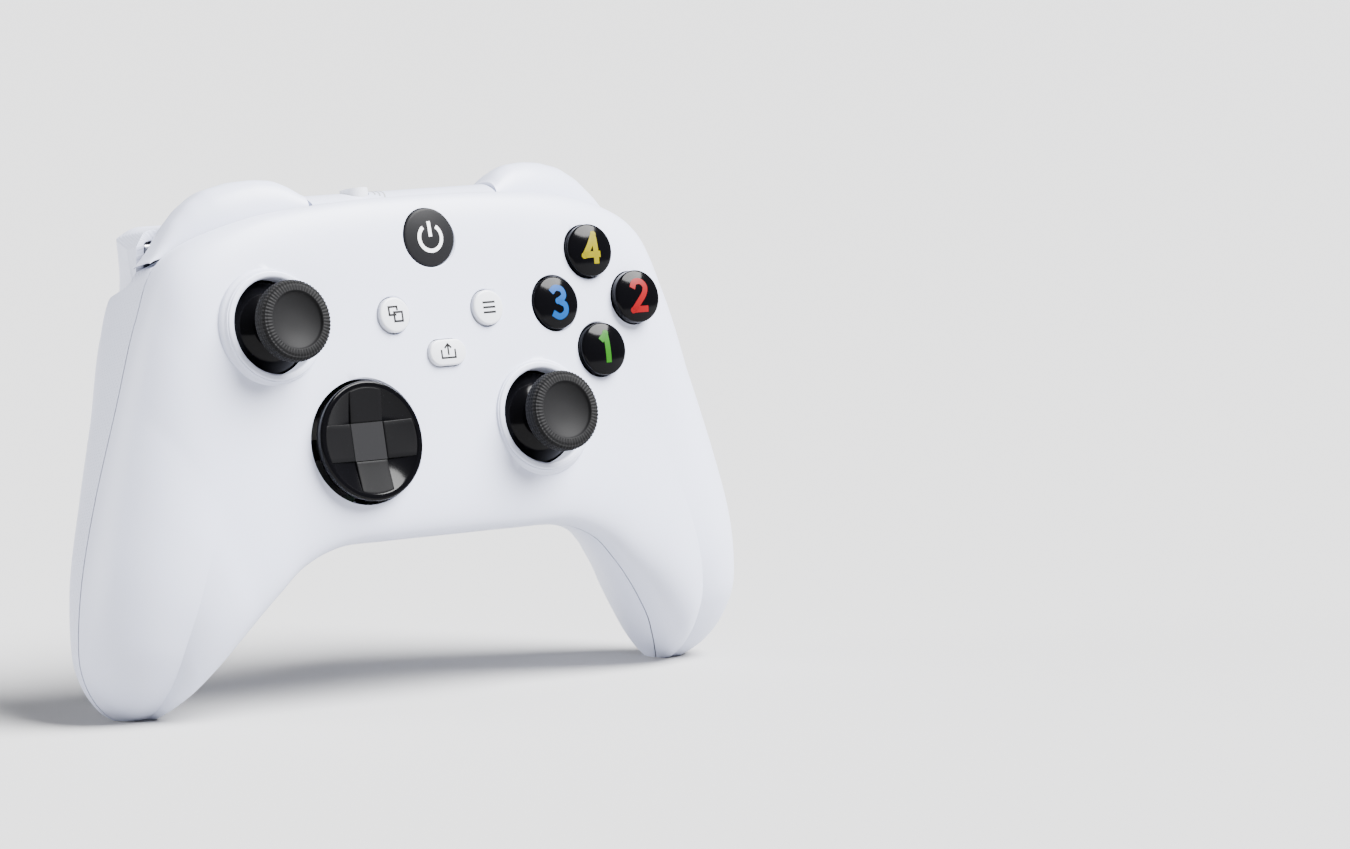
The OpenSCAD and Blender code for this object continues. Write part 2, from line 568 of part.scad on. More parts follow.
// Stick: cap, post with dome, pivot with its stub, yoke ring, housing on the board
stub_r = 1.6;
core_r = 2.2;
cross_r = 0.8;
yoke_r = [3.4, 4.6];
yoke_pin_r = 1.1;
house = [5.4, 6.2];
house_top = 2.9;
module at_pivot(site) stand() translate(site - [0, 0, pivot_drop]) children();
module stick_cap(site) {
    z = pivot_drop + cap_lift;
    dish = cap_r - 2.3;
    color(dark) at_pivot(site) rotate_extrude() polygon([[0, z + 1], [3.2, z + 1], [3.2, z], [cap_r - 1.6, z],
        [cap_r - 0.4, z + 0.9], [cap_r, z + 1.7], [cap_r, z + cap_t - 1.2], [cap_r - 0.5, z + cap_t - 0.3],
        [cap_r - cap_round, z + cap_t], [dish + 0.3, z + cap_t - 0.2], [dish - 0.6, z + cap_t - 0.8],
        [dish / 2, z + cap_t - 1.5], [0, z + cap_t - 1.7]]);
}
module stick_post(site) {
    top = pivot_drop + cap_lift + 1 - 0.05;
    color(dark) at_pivot(site) difference() {
        union() {
            difference() {
                sphere(r = dome_r);
                sphere(r = dome_r - 0.9);
                translate([0, 0, 1.8 - 20]) cylinder(r = 20, h = 20);
            }
            translate([0, 0, 3]) cylinder(r = 2.8, h = top - 3);
        }
        translate([0, 0, -1]) cylinder(r = stub_r + pin_fit, h = 9.8);
    }
}
module stick_pivot(site) {
    color(grey) at_pivot(site) {
        sphere(r = core_r);
        rod_y(cross_r, 2 * yoke_r[1] - 0.4);
        cylinder(r = stub_r, h = 8);
    }
}
module stick_yoke(site) {
    color(grey) at_pivot(site) difference() {
        union() {
            translate([0, 0, -1.2]) cylinder(r = yoke_r[1], h = 2.4);
            for (i = [-1, 1]) translate([i * (yoke_r[1] + house[1]) / 2, 0, 0])
                rod_x(yoke_pin_r, house[1] - yoke_r[1] + 0.6);
        }
        translate([0, 0, -2]) cylinder(r = yoke_r[0], h = 4);
        rod_y(cross_r + pin_fit, 20);
    }
}
module stick_housing(site) {
    low = -board_z - site[2] + pivot_drop;
    color(metal) at_pivot(site) difference() {
        block([-house[1], -house[1], low], [house[1], house[1], house_top]);
        block([-house[0], -house[0], low + 0.6], [house[0], house[0], house_top + 1]);
        rod_x(yoke_pin_r + pin_fit, 20);
    }
}
module left_stick_cap() stick_cap(left_site);
module left_stick_post() stick_post(left_site);
module left_stick_pivot() stick_pivot(left_site);
module left_stick_yoke() stick_yoke(left_site);
module left_stick_housing() stick_housing(left_site);
module right_stick_cap() stick_cap(right_site);
module right_stick_post() stick_post(right_site);
module right_stick_pivot() stick_pivot(right_site);
module right_stick_yoke() stick_yoke(right_site);
module right_stick_housing() stick_housing(right_site);

// Direction pad: a dish with a cross, on a gimbal ring that sits on a base
pad_drop = 4;
pad_arm = 7.6;
module at_pad() stand() translate(dpad_site - [0, 0, pad_drop]) children();
module direction_pad() {
    rim_z = pad_drop + 2;
    color(dark) at_pad() difference() {
        union() {
            rotate_extrude() polygon([[0, 2.2], [dpad_r - 0.4, 2.2], [dpad_r, 2.8], [dpad_r, rim_z - 0.4],
                [dpad_r - 0.5, rim_z], [dpad_r - 1.3, rim_z], [3.4, rim_z - 1.2], [0, rim_z - 1.2]]);
            for (q = [0, 90]) rotate(q)
                block([-dpad_r + 1, -pad_arm / 2, 2.6], [dpad_r - 1, pad_arm / 2, rim_z - 0.2]);
            for (i = [-1, 1]) translate([0, i * 6.4, 0]) block([-1.2, -0.9, -1.6], [1.2, 0.9, 2.4]);
            difference() {
                union() {
                    translate([0, 0, -1.35]) cylinder(r = dpad_r + 1.1, h = 0.95);
                    translate([0, 0, -1]) cylinder(r = dpad_r - 1.2, h = 3.4);
                }
                translate([0, 0, -2]) cylinder(r = dpad_r - 2.6, h = 4.2);
            }
        }
        rod_y(cross_r + pin_fit, 30);
    }
}
module direction_pad_gimbal() {
    color(grey) at_pad() difference() {
        union() {
            translate([0, 0, -1.2]) cylinder(r = 4.6, h = 2.4);
            rod_x(yoke_pin_r, 13.2);
            rod_y(cross_r, 14.6);
        }
        translate([0, 0, -2]) cylinder(r = 3, h = 4);
    }
}
module direction_pad_base() {
    low = -board_z - dpad_site[2] + pad_drop;
    color(metal) at_pad() difference() {
        union() {
            translate([0, 0, low]) cylinder(r = 9, h = 1);
            for (i = [-1, 1]) block([i * 5.9 - 0.7, -2, low], [i * 5.9 + 0.7, 2, 1.6]);
        }
        rod_x(yoke_pin_r + pin_fit, 20);
    }
}

// Face buttons on a rubber pad
dome_h = 0.9;
side_h = 1.5;
flange_drop = 5.4;
module round_button(site, r, side, crown, flange, drop) {
    ball = (r * r + crown * crown) / (2 * crown);
    stand() translate(site) {
        translate([0, 0, -drop]) cylinder(r = r, h = drop + side);
        intersection() {
            translate([0, 0, side - 0.2]) cylinder(r = r, h = crown + 1);
            translate([0, 0, side + crown - ball]) sphere(r = ball);
        }
        translate([0, 0, -drop]) cylinder(r = flange, h = 1);
    }
}
module face_button(i) color(dark) round_button(abxy(i), abxy_r, side_h, dome_h, abxy_r + 0.7, flange_drop);
module east_button() face_button(0);
module north_button() face_button(1);
module west_button() face_button(2);
module south_button() face_button(3);
pad_t = 1;
module rubber_dome(site, r, top) {
    translate([site[0], site[1], -board_z + seat]) {
        cylinder(r = r + 1.5, h = pad_t);
        cylinder(r = r, h = board_z - seat + top);
    }
}
module button_pad() {
    top = abxy_site[2] - flange_drop - abxy_travel - 0.3;
    color(grey) stand() {
        for (i = [0:3]) rubber_dome(abxy(i), 3.4, top);
        translate([abxy_site[0], abxy_site[1], -board_z + seat]) cylinder(r = abxy_d + 2, h = pad_t);
    }
}
small_travel = 0.8;
small_drop = 5;
module small_button(site) color(white) round_button(site, view_r, 0.9, 0.2, view_r + 0.6, small_drop);
module view_button() small_button(view(-1));
module menu_button() small_button(view(1));
module share_button() {
    color(white) stand() {
        stadium(0, share_y, share_w, share_h, -small_drop, small_drop + 0.9);
        stadium(0, share_y, share_w + 1.2, share_h + 1.2, -small_drop, 1);
    }
}
module centre_button_pad() {
    top = face_z(view_x) - small_drop - small_travel - 0.3;
    color(grey) stand() {
        for (site = [view(-1), view(1), share_site]) rubber_dome(site, 2.2, top);
        block([-view_x, share_y, -board_z + seat], [view_x, view_y, -board_z + seat + pad_t]);
    }
}
guide_drop = 3.6;
module guide_button() color(grey) round_button(guide_site, guide_r, 0.1, 0.5, guide_r - 0.6, guide_drop);
module guide_light_pipe() {
    color([0.95, 0.95, 0.95, 0.6]) stand() translate([0, guide_y, -board_z + seat]) difference() {
        cylinder(r = guide_r - 1.8, h = board_z - seat - guide_drop - 1.2);
        translate([0, 0, -1]) cylinder(r = guide_r - 3, h = board_z);
    }
}

// Boards and frame
screw_at = [[-31, 33], [31, 33], [-31, 6.5], [34, -13]];
screw_r = 1;
board_low = -board_z - board_t;
module main_board() {
    color(green) stand() difference() {
        translate([0, 0, board_low]) linear_extrude(board_t) union() {
            translate([-33.5, -9]) square([67, 46]);
            for (s = [-1, 1]) translate([s * stick_x, stick_y]) circle(r = 12.5);
            for (s = [-1, 1]) translate([s * (pad_x + 4), -6]) circle(r = 12);
        }
        block([-6, 34.8 * ky, board_low - 1], [6, 50, 0]);
        for (p = screw_at) translate([p[0], p[1], board_low - 1]) cylinder(r = screw_r + 0.2, h = 4);
    }
}
module board_screws() {
    color(metal) stand() for (p = screw_at) translate([p[0], p[1], 0]) {
        translate([0, 0, board_low - 3.4]) cylinder(r = screw_r, h = 3.4 + board_t + 0.4);
        translate([0, 0, -board_z + 0.05]) cylinder(r = 1.9, h = 1.1);
    }
}
// The frame's bay holds two cells side by side, with the contacts at its ends
bay_gap = 0.3;
bay_t = 1.2;
bay_top = board_low - bay_gap;
contact_room = 2.6;
bay_half = cell_l / 2 + contact_room;
cell_pitch = 2 * cell_r + 0.6;
cell_y = 20;
bay_y = [cell_y - cell_pitch / 2 - cell_r - bay_gap, cell_y + cell_pitch / 2 + cell_r + bay_gap];
cell_z = bay_top - bay_t - seat - cell_r;
bay_deep = cell_z - 2;
motor_r = 5.6;
motor_l = 8;
motor_x = 55 * kx;
motor_y = -18 * ky;
motor_z = -34 * kz;
arm_y = motor_y + 8.8;
small_motor_r = 3;
small_motor_l = 9;
small_motor = [42, 6, -24];
lower_z = -18.4;
module middle_frame() {
    y = pin_at[0];
    z = pin_at[1];
    color(grey) stand() difference() {
        union() {
            difference() {
                block([-bay_half - bay_t, bay_y[0] - bay_t, bay_deep], [bay_half + bay_t, bay_y[1] + bay_t, bay_top]);
                block([-bay_half, bay_y[0], bay_deep - 1], [bay_half, bay_y[1], bay_top - bay_t]);
            }
            for (s = [-1, 1]) each_side(s) {
                block([bay_half, y - 5, bay_top - 3], [bracket[1], y + 1, bay_top]);
                block([bracket[0], y - 2, z - 1.9], [bracket[1], y + 1.6, bay_top]);
                block([bay_half, 3, bay_top - 2], [small_motor[0] + 6, 9, bay_top]);
                block([small_motor[0] - 3, 4, small_motor[2] + small_motor_r + seat], [small_motor[0] + 3, 8, bay_top]);
                // arm down the grip to the rumble motor
                block([small_motor[0] + 2, arm_y, bay_top - 2], [small_motor[0] + 6, 9, bay_top]);
                block([small_motor[0] + 2, arm_y, bay_top - 2], [motor_x + 2, arm_y + 2, bay_top]);
                block([motor_x - 2, arm_y, motor_z + 2], [motor_x + 2, arm_y + 2, bay_top]);
                block([motor_x - 2, motor_y + motor_r + seat, motor_z + 2],
                    [motor_x + 2, arm_y + 1, motor_z + motor_l - 1]);
                // foot for the lower board
                block([16, -8, lower_z + seat], [20, bay_y[0], bay_top]);
            }
            // arm out to the lowest screw boss
            block([screw_at[3][0] - 1.5, screw_at[3][1], bay_top - 2], [screw_at[3][0] + 1.5, 4, bay_top]);
            for (p = screw_at) translate([p[0], p[1], bay_top - 3.6]) cylinder(r = 2.6, h = 3.6);
        }
        for (s = [-1, 1]) each_side(s) translate([trigger_at, y, z]) rod_x(pin_r + pin_fit, 40);
        for (p = screw_at) translate([p[0], p[1], -30]) cylinder(r = screw_r + pin_fit, h = 20);
    }
}
module lower_board() {
    color(green) stand() block([-22, -14, lower_z - board_t], [22, 2.5, lower_z]);
}
module headset_jack() {
    color(dark) stand() difference() {
        union() {
            translate([jack_at[0], -16.2 * ky, jack_at[1]]) rod_y(jack_d / 2, 12.4);
            block([jack_at[0] - 3.2, -15 * ky, lower_z + seat], [jack_at[0] + 3.2, -10 * ky, jack_at[1] + 3.2]);
        }
        translate([jack_at[0], -18 * ky, jack_at[1]]) rod_y(jack_r, 13);
    }
}
module expansion_port() {
    color(dark) stand() difference() {
        union() {
            block([port_at[0] - port_w / 2 + 1.6, -22.2 * ky, port_at[1] - port_h / 2],
                [port_at[0] + port_w / 2 - 1.6, -14 * ky, port_at[1] + port_h / 2]);
            block([port_at[0] - 3, -15 * ky, lower_z + seat], [port_at[0] + 3, -12 * ky, port_at[1]]);
        }
        block([port_at[0] - port_w / 2 + 2.4, -23 * ky, port_at[1] - port_h / 2 + 1],
            [port_at[0] + port_w / 2 - 2.4, -16 * ky, port_at[1] + port_h / 2 - 1]);
    }
}
module cells() {
    color([0.2, 0.22, 0.25]) stand() for (i = [-1, 1]) translate([0, cell_y + i * cell_pitch / 2, cell_z]) {
        rod_x(cell_r, cell_l - 1.5);
        translate([i * cell_l / 2 - i * 0.8, 0, 0]) rod_x(2.7, 1.6);
    }
}
module battery_contacts() {
    plate = bay_half - seat;
    color(metal) stand() {
        for (s = [-1, 1]) each_side(s)
            block([plate - 0.4, bay_y[0] + 3, cell_z - 4], [plate, bay_y[1] - 3, cell_z + 4]);
        for (i = [-1, 1]) translate([0, cell_y + i * cell_pitch / 2, cell_z])
            wire([for (k = [0:36]) [-i * (plate - 0.3 - (contact_room - 0.5) * k / 36), 3 * cos(30 * k), 3 * sin(30 * k)]],
                0.25, 6);
    }
}

// Rumble motors with eccentric weights on their shafts
module rumble_motor(s) {
    color(metal) stand() translate([s * motor_x, motor_y, motor_z]) {
        cylinder(r = motor_r, h = motor_l);
        cylinder(r = 0.8, h = motor_l + 6);
    }
}
module rumble_weight(s, r) {
    color(grey) stand() translate([s * motor_x, motor_y, motor_z + motor_l + 0.6]) difference() {
        union() {
            cylinder(r = 2.2, h = 5);
            intersection() {
                cylinder(r = r, h = 5);
                block([-r, -r, -1], [r, 0, 6]);
            }
        }
        translate([0, 0, -1]) cylinder(r = 0.8 + pin_fit, h = 8);
    }
}
module left_rumble_motor() rumble_motor(-1);
module right_rumble_motor() rumble_motor(1);
module left_rumble_weight() rumble_weight(-1, weight_r);
module right_rumble_weight() rumble_weight(1, weight_r - 1.5);
module trigger_motor(s) {
    color(metal) stand() each_side(s) translate(small_motor) {
        rod_x(small_motor_r, small_motor_l);
        translate([small_motor_l / 2 + 1.5, 0, 0]) rod_x(0.5, 5);
    }
}
module trigger_weight(s) {
    color(grey) stand() each_side(s) translate(small_motor + [small_motor_l / 2 + 2.4, 0, 0]) difference() {
        union() {
            rod_x(1.3, 3);
            intersection() {
                rod_x(3, 3);
                block([-3, -4, -4], [3, 4, 0]);
            }
        }
        rod_x(0.5 + pin_fit, 8);
    }
}
module left_trigger_motor() trigger_motor(-1);
module right_trigger_motor() trigger_motor(1);
module left_trigger_weight() trigger_weight(-1);
module right_trigger_weight() trigger_weight(1);

front_shell();
rear_shell();
left_side_grip();
right_side_grip();
battery_cover();
top_bridge();
bumper_carrier();
left_bumper();
right_bumper();
left_trigger();
right_trigger();
left_trigger_pin();
right_trigger_pin();
left_trigger_spring();
right_trigger_spring();
left_stick_cap();
left_stick_post();
left_stick_pivot();
left_stick_yoke();
left_stick_housing();
right_stick_cap();
right_stick_post();
right_stick_pivot();
right_stick_yoke();
right_stick_housing();
direction_pad();
direction_pad_gimbal();
direction_pad_base();
south_button();
east_button();
west_button();
north_button();
button_pad();
view_button();
menu_button();
share_button();
centre_button_pad();
guide_button();
guide_light_pipe();
pair_button();
main_board();
lower_board();
middle_frame();
left_rumble_motor();
left_rumble_weight();
right_rumble_motor();
right_rumble_weight();
left_trigger_motor();
left_trigger_weight();
right_trigger_motor();
right_trigger_weight();
usb_port();
headset_jack();
expansion_port();
cells();
battery_contacts();
board_screws();
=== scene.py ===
import json
import math
import bmesh
import bpy
import numpy as np
from mathutils import Matrix, Vector


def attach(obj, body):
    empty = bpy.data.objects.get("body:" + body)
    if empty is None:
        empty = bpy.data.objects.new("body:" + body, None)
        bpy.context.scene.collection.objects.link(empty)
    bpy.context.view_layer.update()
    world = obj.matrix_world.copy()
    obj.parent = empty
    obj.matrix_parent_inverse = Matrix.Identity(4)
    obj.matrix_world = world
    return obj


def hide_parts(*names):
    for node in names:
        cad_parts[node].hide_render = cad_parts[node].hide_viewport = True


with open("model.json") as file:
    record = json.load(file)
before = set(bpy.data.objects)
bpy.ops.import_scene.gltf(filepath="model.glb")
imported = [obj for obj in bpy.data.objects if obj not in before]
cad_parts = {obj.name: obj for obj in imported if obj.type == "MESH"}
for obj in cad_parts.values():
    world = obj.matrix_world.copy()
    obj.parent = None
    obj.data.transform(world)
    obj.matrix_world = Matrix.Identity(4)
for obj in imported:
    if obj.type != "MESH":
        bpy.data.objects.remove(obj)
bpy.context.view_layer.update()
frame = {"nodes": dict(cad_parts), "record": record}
print("stage: frame loaded")

# Face frame in mm (x right, y up to the bumpers, z out of the face) to the row frame in metres
stance = {"lean": 12.0, "middle": 17.472878, "lift": 57.232391}
leanSin = math.sin(math.radians(stance["lean"]))
leanCos = math.cos(math.radians(stance["lean"]))


def toRow(p):
    p = np.asarray(p, float)
    y = p[..., 1] * leanSin - p[..., 2] * leanCos - stance["middle"]
    z = p[..., 1] * leanCos + p[..., 2] * leanSin + stance["lift"]
    return np.stack([p[..., 0], y, z], -1) / 1000.0


def turnRow(v):
    return Vector((v[0], v[1] * leanSin - v[2] * leanCos, v[1] * leanCos + v[2] * leanSin))


# Camera: place and axes in the face frame, as fitted to the photograph
camView = {"place": (-735.8, -94.1, 1083.4), "right": (0.80575, -0.14173, 0.57505),
           "up": (0.07727, 0.98780, 0.13518), "back": (-0.58719, -0.06449, 0.80687), "lens": 178.1}
camData = bpy.data.cameras.new("photoCamera")
camData.sensor_fit = "HORIZONTAL"
camData.sensor_width = 36.0
camData.lens = camView["lens"]
camData.clip_end = 20.0
camObj = bpy.data.objects.new("photoCamera", camData)
bpy.context.scene.collection.objects.link(camObj)
camAxes = [turnRow(camView[k]) for k in ("right", "up", "back")]
camMat = Matrix.Identity(4)
for i in range(3):
    for j in range(3):
        camMat[i][j] = camAxes[j][i]
camMat.translation = Vector(toRow(camView["place"]))
camObj.matrix_world = camMat
bpy.context.scene.camera = camObj


# Mesh helpers: whole index arrays for grids and lathes
def gridFaces(n, m, wrap=False, flip=False, start=0):
    i, k = np.meshgrid(np.arange(n - 1), np.arange(m if wrap else m - 1), indexing="ij")
    k2 = (k + 1) % m
    f = np.stack([i * m + k, i * m + k2, (i + 1) * m + k2, (i + 1) * m + k], -1).reshape(-1, 4) + start
    return f[:, ::-1] if flip else f


def addPiece(name, verts, faces, mat=None, sharp=32, uv=None):
    me = bpy.data.meshes.new(name)
    me.from_pydata(np.asarray(verts, float).tolist(), [], [list(map(int, f)) for f in faces])
    if uv is not None:
        layer = me.uv_layers.new(name="plan")
        idx = np.zeros(len(me.loops), np.int32)
        me.loops.foreach_get("vertex_index", idx)
        layer.data.foreach_set("uv", np.asarray(uv, np.float32)[idx].ravel())
    me.update()
    ob = bpy.data.objects.new(name, me)
    bpy.context.scene.collection.objects.link(ob)
    if mat is not None:
        me.materials.append(mat)
    smoothOff(me, sharp)
    return ob


def smoothOff(me, sharp):
    me.polygons.foreach_set("use_smooth", np.ones(len(me.polygons), bool))
    me.set_sharp_from_angle(angle=math.radians(sharp))
    me.update()


# Catmull-Rom curve through the points: each span blends four neighbours by cubic weights
def blend(ext, i, f):
    p0, p1, p2, p3 = (ext[i + k] for k in range(4))
    square = (2 * p0 - 5 * p1 + 4 * p2 - p3) * f ** 2
    cube = (3 * p1 - p0 - 3 * p2 + p3) * f ** 3
    return 0.5 * (2 * p1 + (p2 - p0) * f + square + cube)


def finePath(points, sub=10):
    p = np.asarray(points, float)
    ext = np.concatenate([2 * p[:1] - p[1:2], p, 2 * p[-1:] - p[-2:-1]])
    n = len(p) - 1
    t = np.linspace(0, n, n * sub + 1)
    i = np.minimum(t.astype(int), n - 1)
    return blend(ext, i, (t - i)[:, None])


# A solid of revolution: each profile point (radius, height) turned about z
def lathe(profile, segs):
    pr = np.asarray(profile, float)
    a = np.linspace(0, 2 * np.pi, segs, endpoint=False)
    ring = np.stack([np.cos(a), np.sin(a)], -1)
    v = np.concatenate([pr[:, None, 0:1] * ring[None], np.repeat(pr[:, None, 1:2], segs, 1)], -1).reshape(-1, 3)
    faces = [tuple(f) for f in gridFaces(len(pr), segs, True)]
    faces.append(tuple(range(segs))[::-1])
    faces.append(tuple(range((len(pr) - 1) * segs, len(pr) * segs)))
    return v, faces


def arcPoints(cx, cz, r, a0, a1, n):
    a = np.radians(np.linspace(a0, a1, n))
    return [(cx + r * math.cos(t), cz + r * math.sin(t)) for t in a]


def shift(v, site):
    return v + np.asarray(site, float)


def settle(ob, sharp=32):
    deps = bpy.context.evaluated_depsgraph_get()
    me = bpy.data.meshes.new_from_object(ob.evaluated_get(deps))
    ob.modifiers.clear()
    ob.data = me
    smoothOff(me, sharp)
    return ob


# Cuts or joins solids with the exact solver and keeps the result as plain mesh
def carve(ob, others, how="DIFFERENCE", sharp=32):
    group = bpy.data.collections.new("tools")
    bpy.context.scene.collection.children.link(group)
    for o in others:
        bpy.context.scene.collection.objects.unlink(o)
        group.objects.link(o)
    mod = ob.modifiers.new("carve", "BOOLEAN")
    mod.operation = how
    mod.operand_type = "COLLECTION"
    mod.collection = group
    mod.solver = "EXACT"
    settle(ob, sharp)
    for o in others:
        me = o.data
        bpy.data.objects.remove(o)
        bpy.data.meshes.remove(me)
    bpy.data.collections.remove(group)
    return ob


# Procedural materials
def newMaterial(name):
    mat = bpy.data.materials.new(name)
    mat.use_nodes = True
    nt = mat.node_tree
    return mat, nt, nt.nodes["Principled BSDF"]


def node(nt, kind, **sets):
    n = nt.nodes.new(kind)
    for k, v in sets.items():
        if k in n.inputs:
            n.inputs[k].default_value = v
        else:
            setattr(n, k, v)
    return n


# Moulded plastic or rubber: two-tone mottling, uneven gloss and a fine spark-eroded grain, with dots on request
def moulded(name, colour, rough, grain=0.25, grainSize=0.00035, mottle=0.03, coat=0.0, dots=None, spec=0.5,
            scatter=0.0):
    mat, nt, bsdf = newMaterial(name)
    coord = node(nt, "ShaderNodeTexCoord")
    broad = node(nt, "ShaderNodeTexNoise", Scale=45.0, Detail=3.0)
    nt.links.new(coord.outputs["Object"], broad.inputs["Vector"])
    tone = node(nt, "ShaderNodeMix", data_type="RGBA")
    tone.inputs[6].default_value = tuple(c * (1 - mottle) for c in colour) + (1,)
    tone.inputs[7].default_value = tuple(min(1, c * (1 + mottle)) for c in colour) + (1,)
    nt.links.new(broad.outputs["Fac"], tone.inputs[0])
    nt.links.new(tone.outputs[2], bsdf.inputs["Base Color"])
    gloss = node(nt, "ShaderNodeMapRange")
    gloss.inputs["To Min"].default_value = max(0.02, rough - 0.05)
    gloss.inputs["To Max"].default_value = min(1.0, rough + 0.05)
    nt.links.new(broad.outputs["Fac"], gloss.inputs["Value"])
    nt.links.new(gloss.outputs["Result"], bsdf.inputs["Roughness"])
    fine = node(nt, "ShaderNodeTexNoise", Scale=1.0 / grainSize, Detail=2.0)
    nt.links.new(coord.outputs["Object"], fine.inputs["Vector"])
    bump = node(nt, "ShaderNodeBump", Strength=grain, Distance=0.00002)
    nt.links.new(fine.outputs["Fac"], bump.inputs["Height"])
    last = bump
    if dots:
        uvMap = node(nt, "ShaderNodeUVMap", uv_map="plan")
        cells = node(nt, "ShaderNodeTexVoronoi", voronoi_dimensions="2D", Randomness=0.0, Scale=1.0 / dots["pitch"])
        turn = node(nt, "ShaderNodeMapping")
        turn.inputs["Rotation"].default_value = (0, 0, math.radians(45))
        nt.links.new(uvMap.outputs["UV"], turn.inputs["Vector"])
        nt.links.new(turn.outputs["Vector"], cells.inputs["Vector"])
        knob = node(nt, "ShaderNodeMapRange", interpolation_type="SMOOTHSTEP")
        knob.inputs["From Min"].default_value = 0.22
        knob.inputs["From Max"].default_value = 0.42
        knob.inputs["To Min"].default_value = 1.0
        knob.inputs["To Max"].default_value = 0.0
        nt.links.new(cells.outputs["Distance"], knob.inputs["Value"])
        height = knob.outputs["Result"]
        if "fade" in dots:
            parts = node(nt, "ShaderNodeSeparateXYZ")
            nt.links.new(uvMap.outputs["UV"], parts.inputs["Vector"])
            patch = node(nt, "ShaderNodeMapRange", interpolation_type="SMOOTHSTEP")
            patch.inputs["From Min"].default_value = dots["fade"][0]
            patch.inputs["From Max"].default_value = dots["fade"][1]
            nt.links.new(parts.outputs["Y"], patch.inputs["Value"])
            masked = node(nt, "ShaderNodeMath", operation="MULTIPLY")
            nt.links.new(height, masked.inputs[0])
            nt.links.new(patch.outputs["Result"], masked.inputs[1])
            height = masked.outputs["Value"]
        raised = node(nt, "ShaderNodeBump", Strength=dots["strength"], Distance=dots["height"])
        nt.links.new(height, raised.inputs["Height"])
        nt.links.new(bump.outputs["Normal"], raised.inputs["Normal"])
        last = raised
    nt.links.new(last.outputs["Normal"], bsdf.inputs["Normal"])
    bsdf.inputs["Coat Weight"].default_value = coat
    bsdf.inputs["Coat Roughness"].default_value = 0.06
    bsdf.inputs["Specular IOR Level"].default_value = spec
    if scatter:
        bsdf.inputs["Subsurface Weight"].default_value = scatter
        bsdf.inputs["Subsurface Radius"].default_value = (0.0012, 0.0011, 0.001)
        bsdf.inputs["Subsurface Scale"].default_value = 0.4
    return mat


# Plated or turned metal: brushed streaks along x
def brushed(name, colour, rough):
    mat, nt, bsdf = newMaterial(name)
    coord = node(nt, "ShaderNodeTexCoord")
    stretch = node(nt, "ShaderNodeMapping")
    stretch.inputs["Scale"].default_value = (200.0, 6000.0, 6000.0)
    nt.links.new(coord.outputs["Object"], stretch.inputs["Vector"])
    streak = node(nt, "ShaderNodeTexNoise", Scale=1.0, Detail=3.0)
    nt.links.new(stretch.outputs["Vector"], streak.inputs["Vector"])
    tone = node(nt, "ShaderNodeMix", data_type="RGBA")
    tone.inputs[6].default_value = tuple(c * 0.85 for c in colour) + (1,)
    tone.inputs[7].default_value = tuple(colour) + (1,)
    nt.links.new(streak.outputs["Fac"], tone.inputs[0])
    nt.links.new(tone.outputs[2], bsdf.inputs["Base Color"])
    spread = node(nt, "ShaderNodeMapRange")
    spread.inputs["To Min"].default_value = rough * 0.7
    spread.inputs["To Max"].default_value = rough * 1.3
    nt.links.new(streak.outputs["Fac"], spread.inputs["Value"])
    nt.links.new(spread.outputs["Result"], bsdf.inputs["Roughness"])
    bsdf.inputs["Metallic"].default_value = 1.0
    return mat


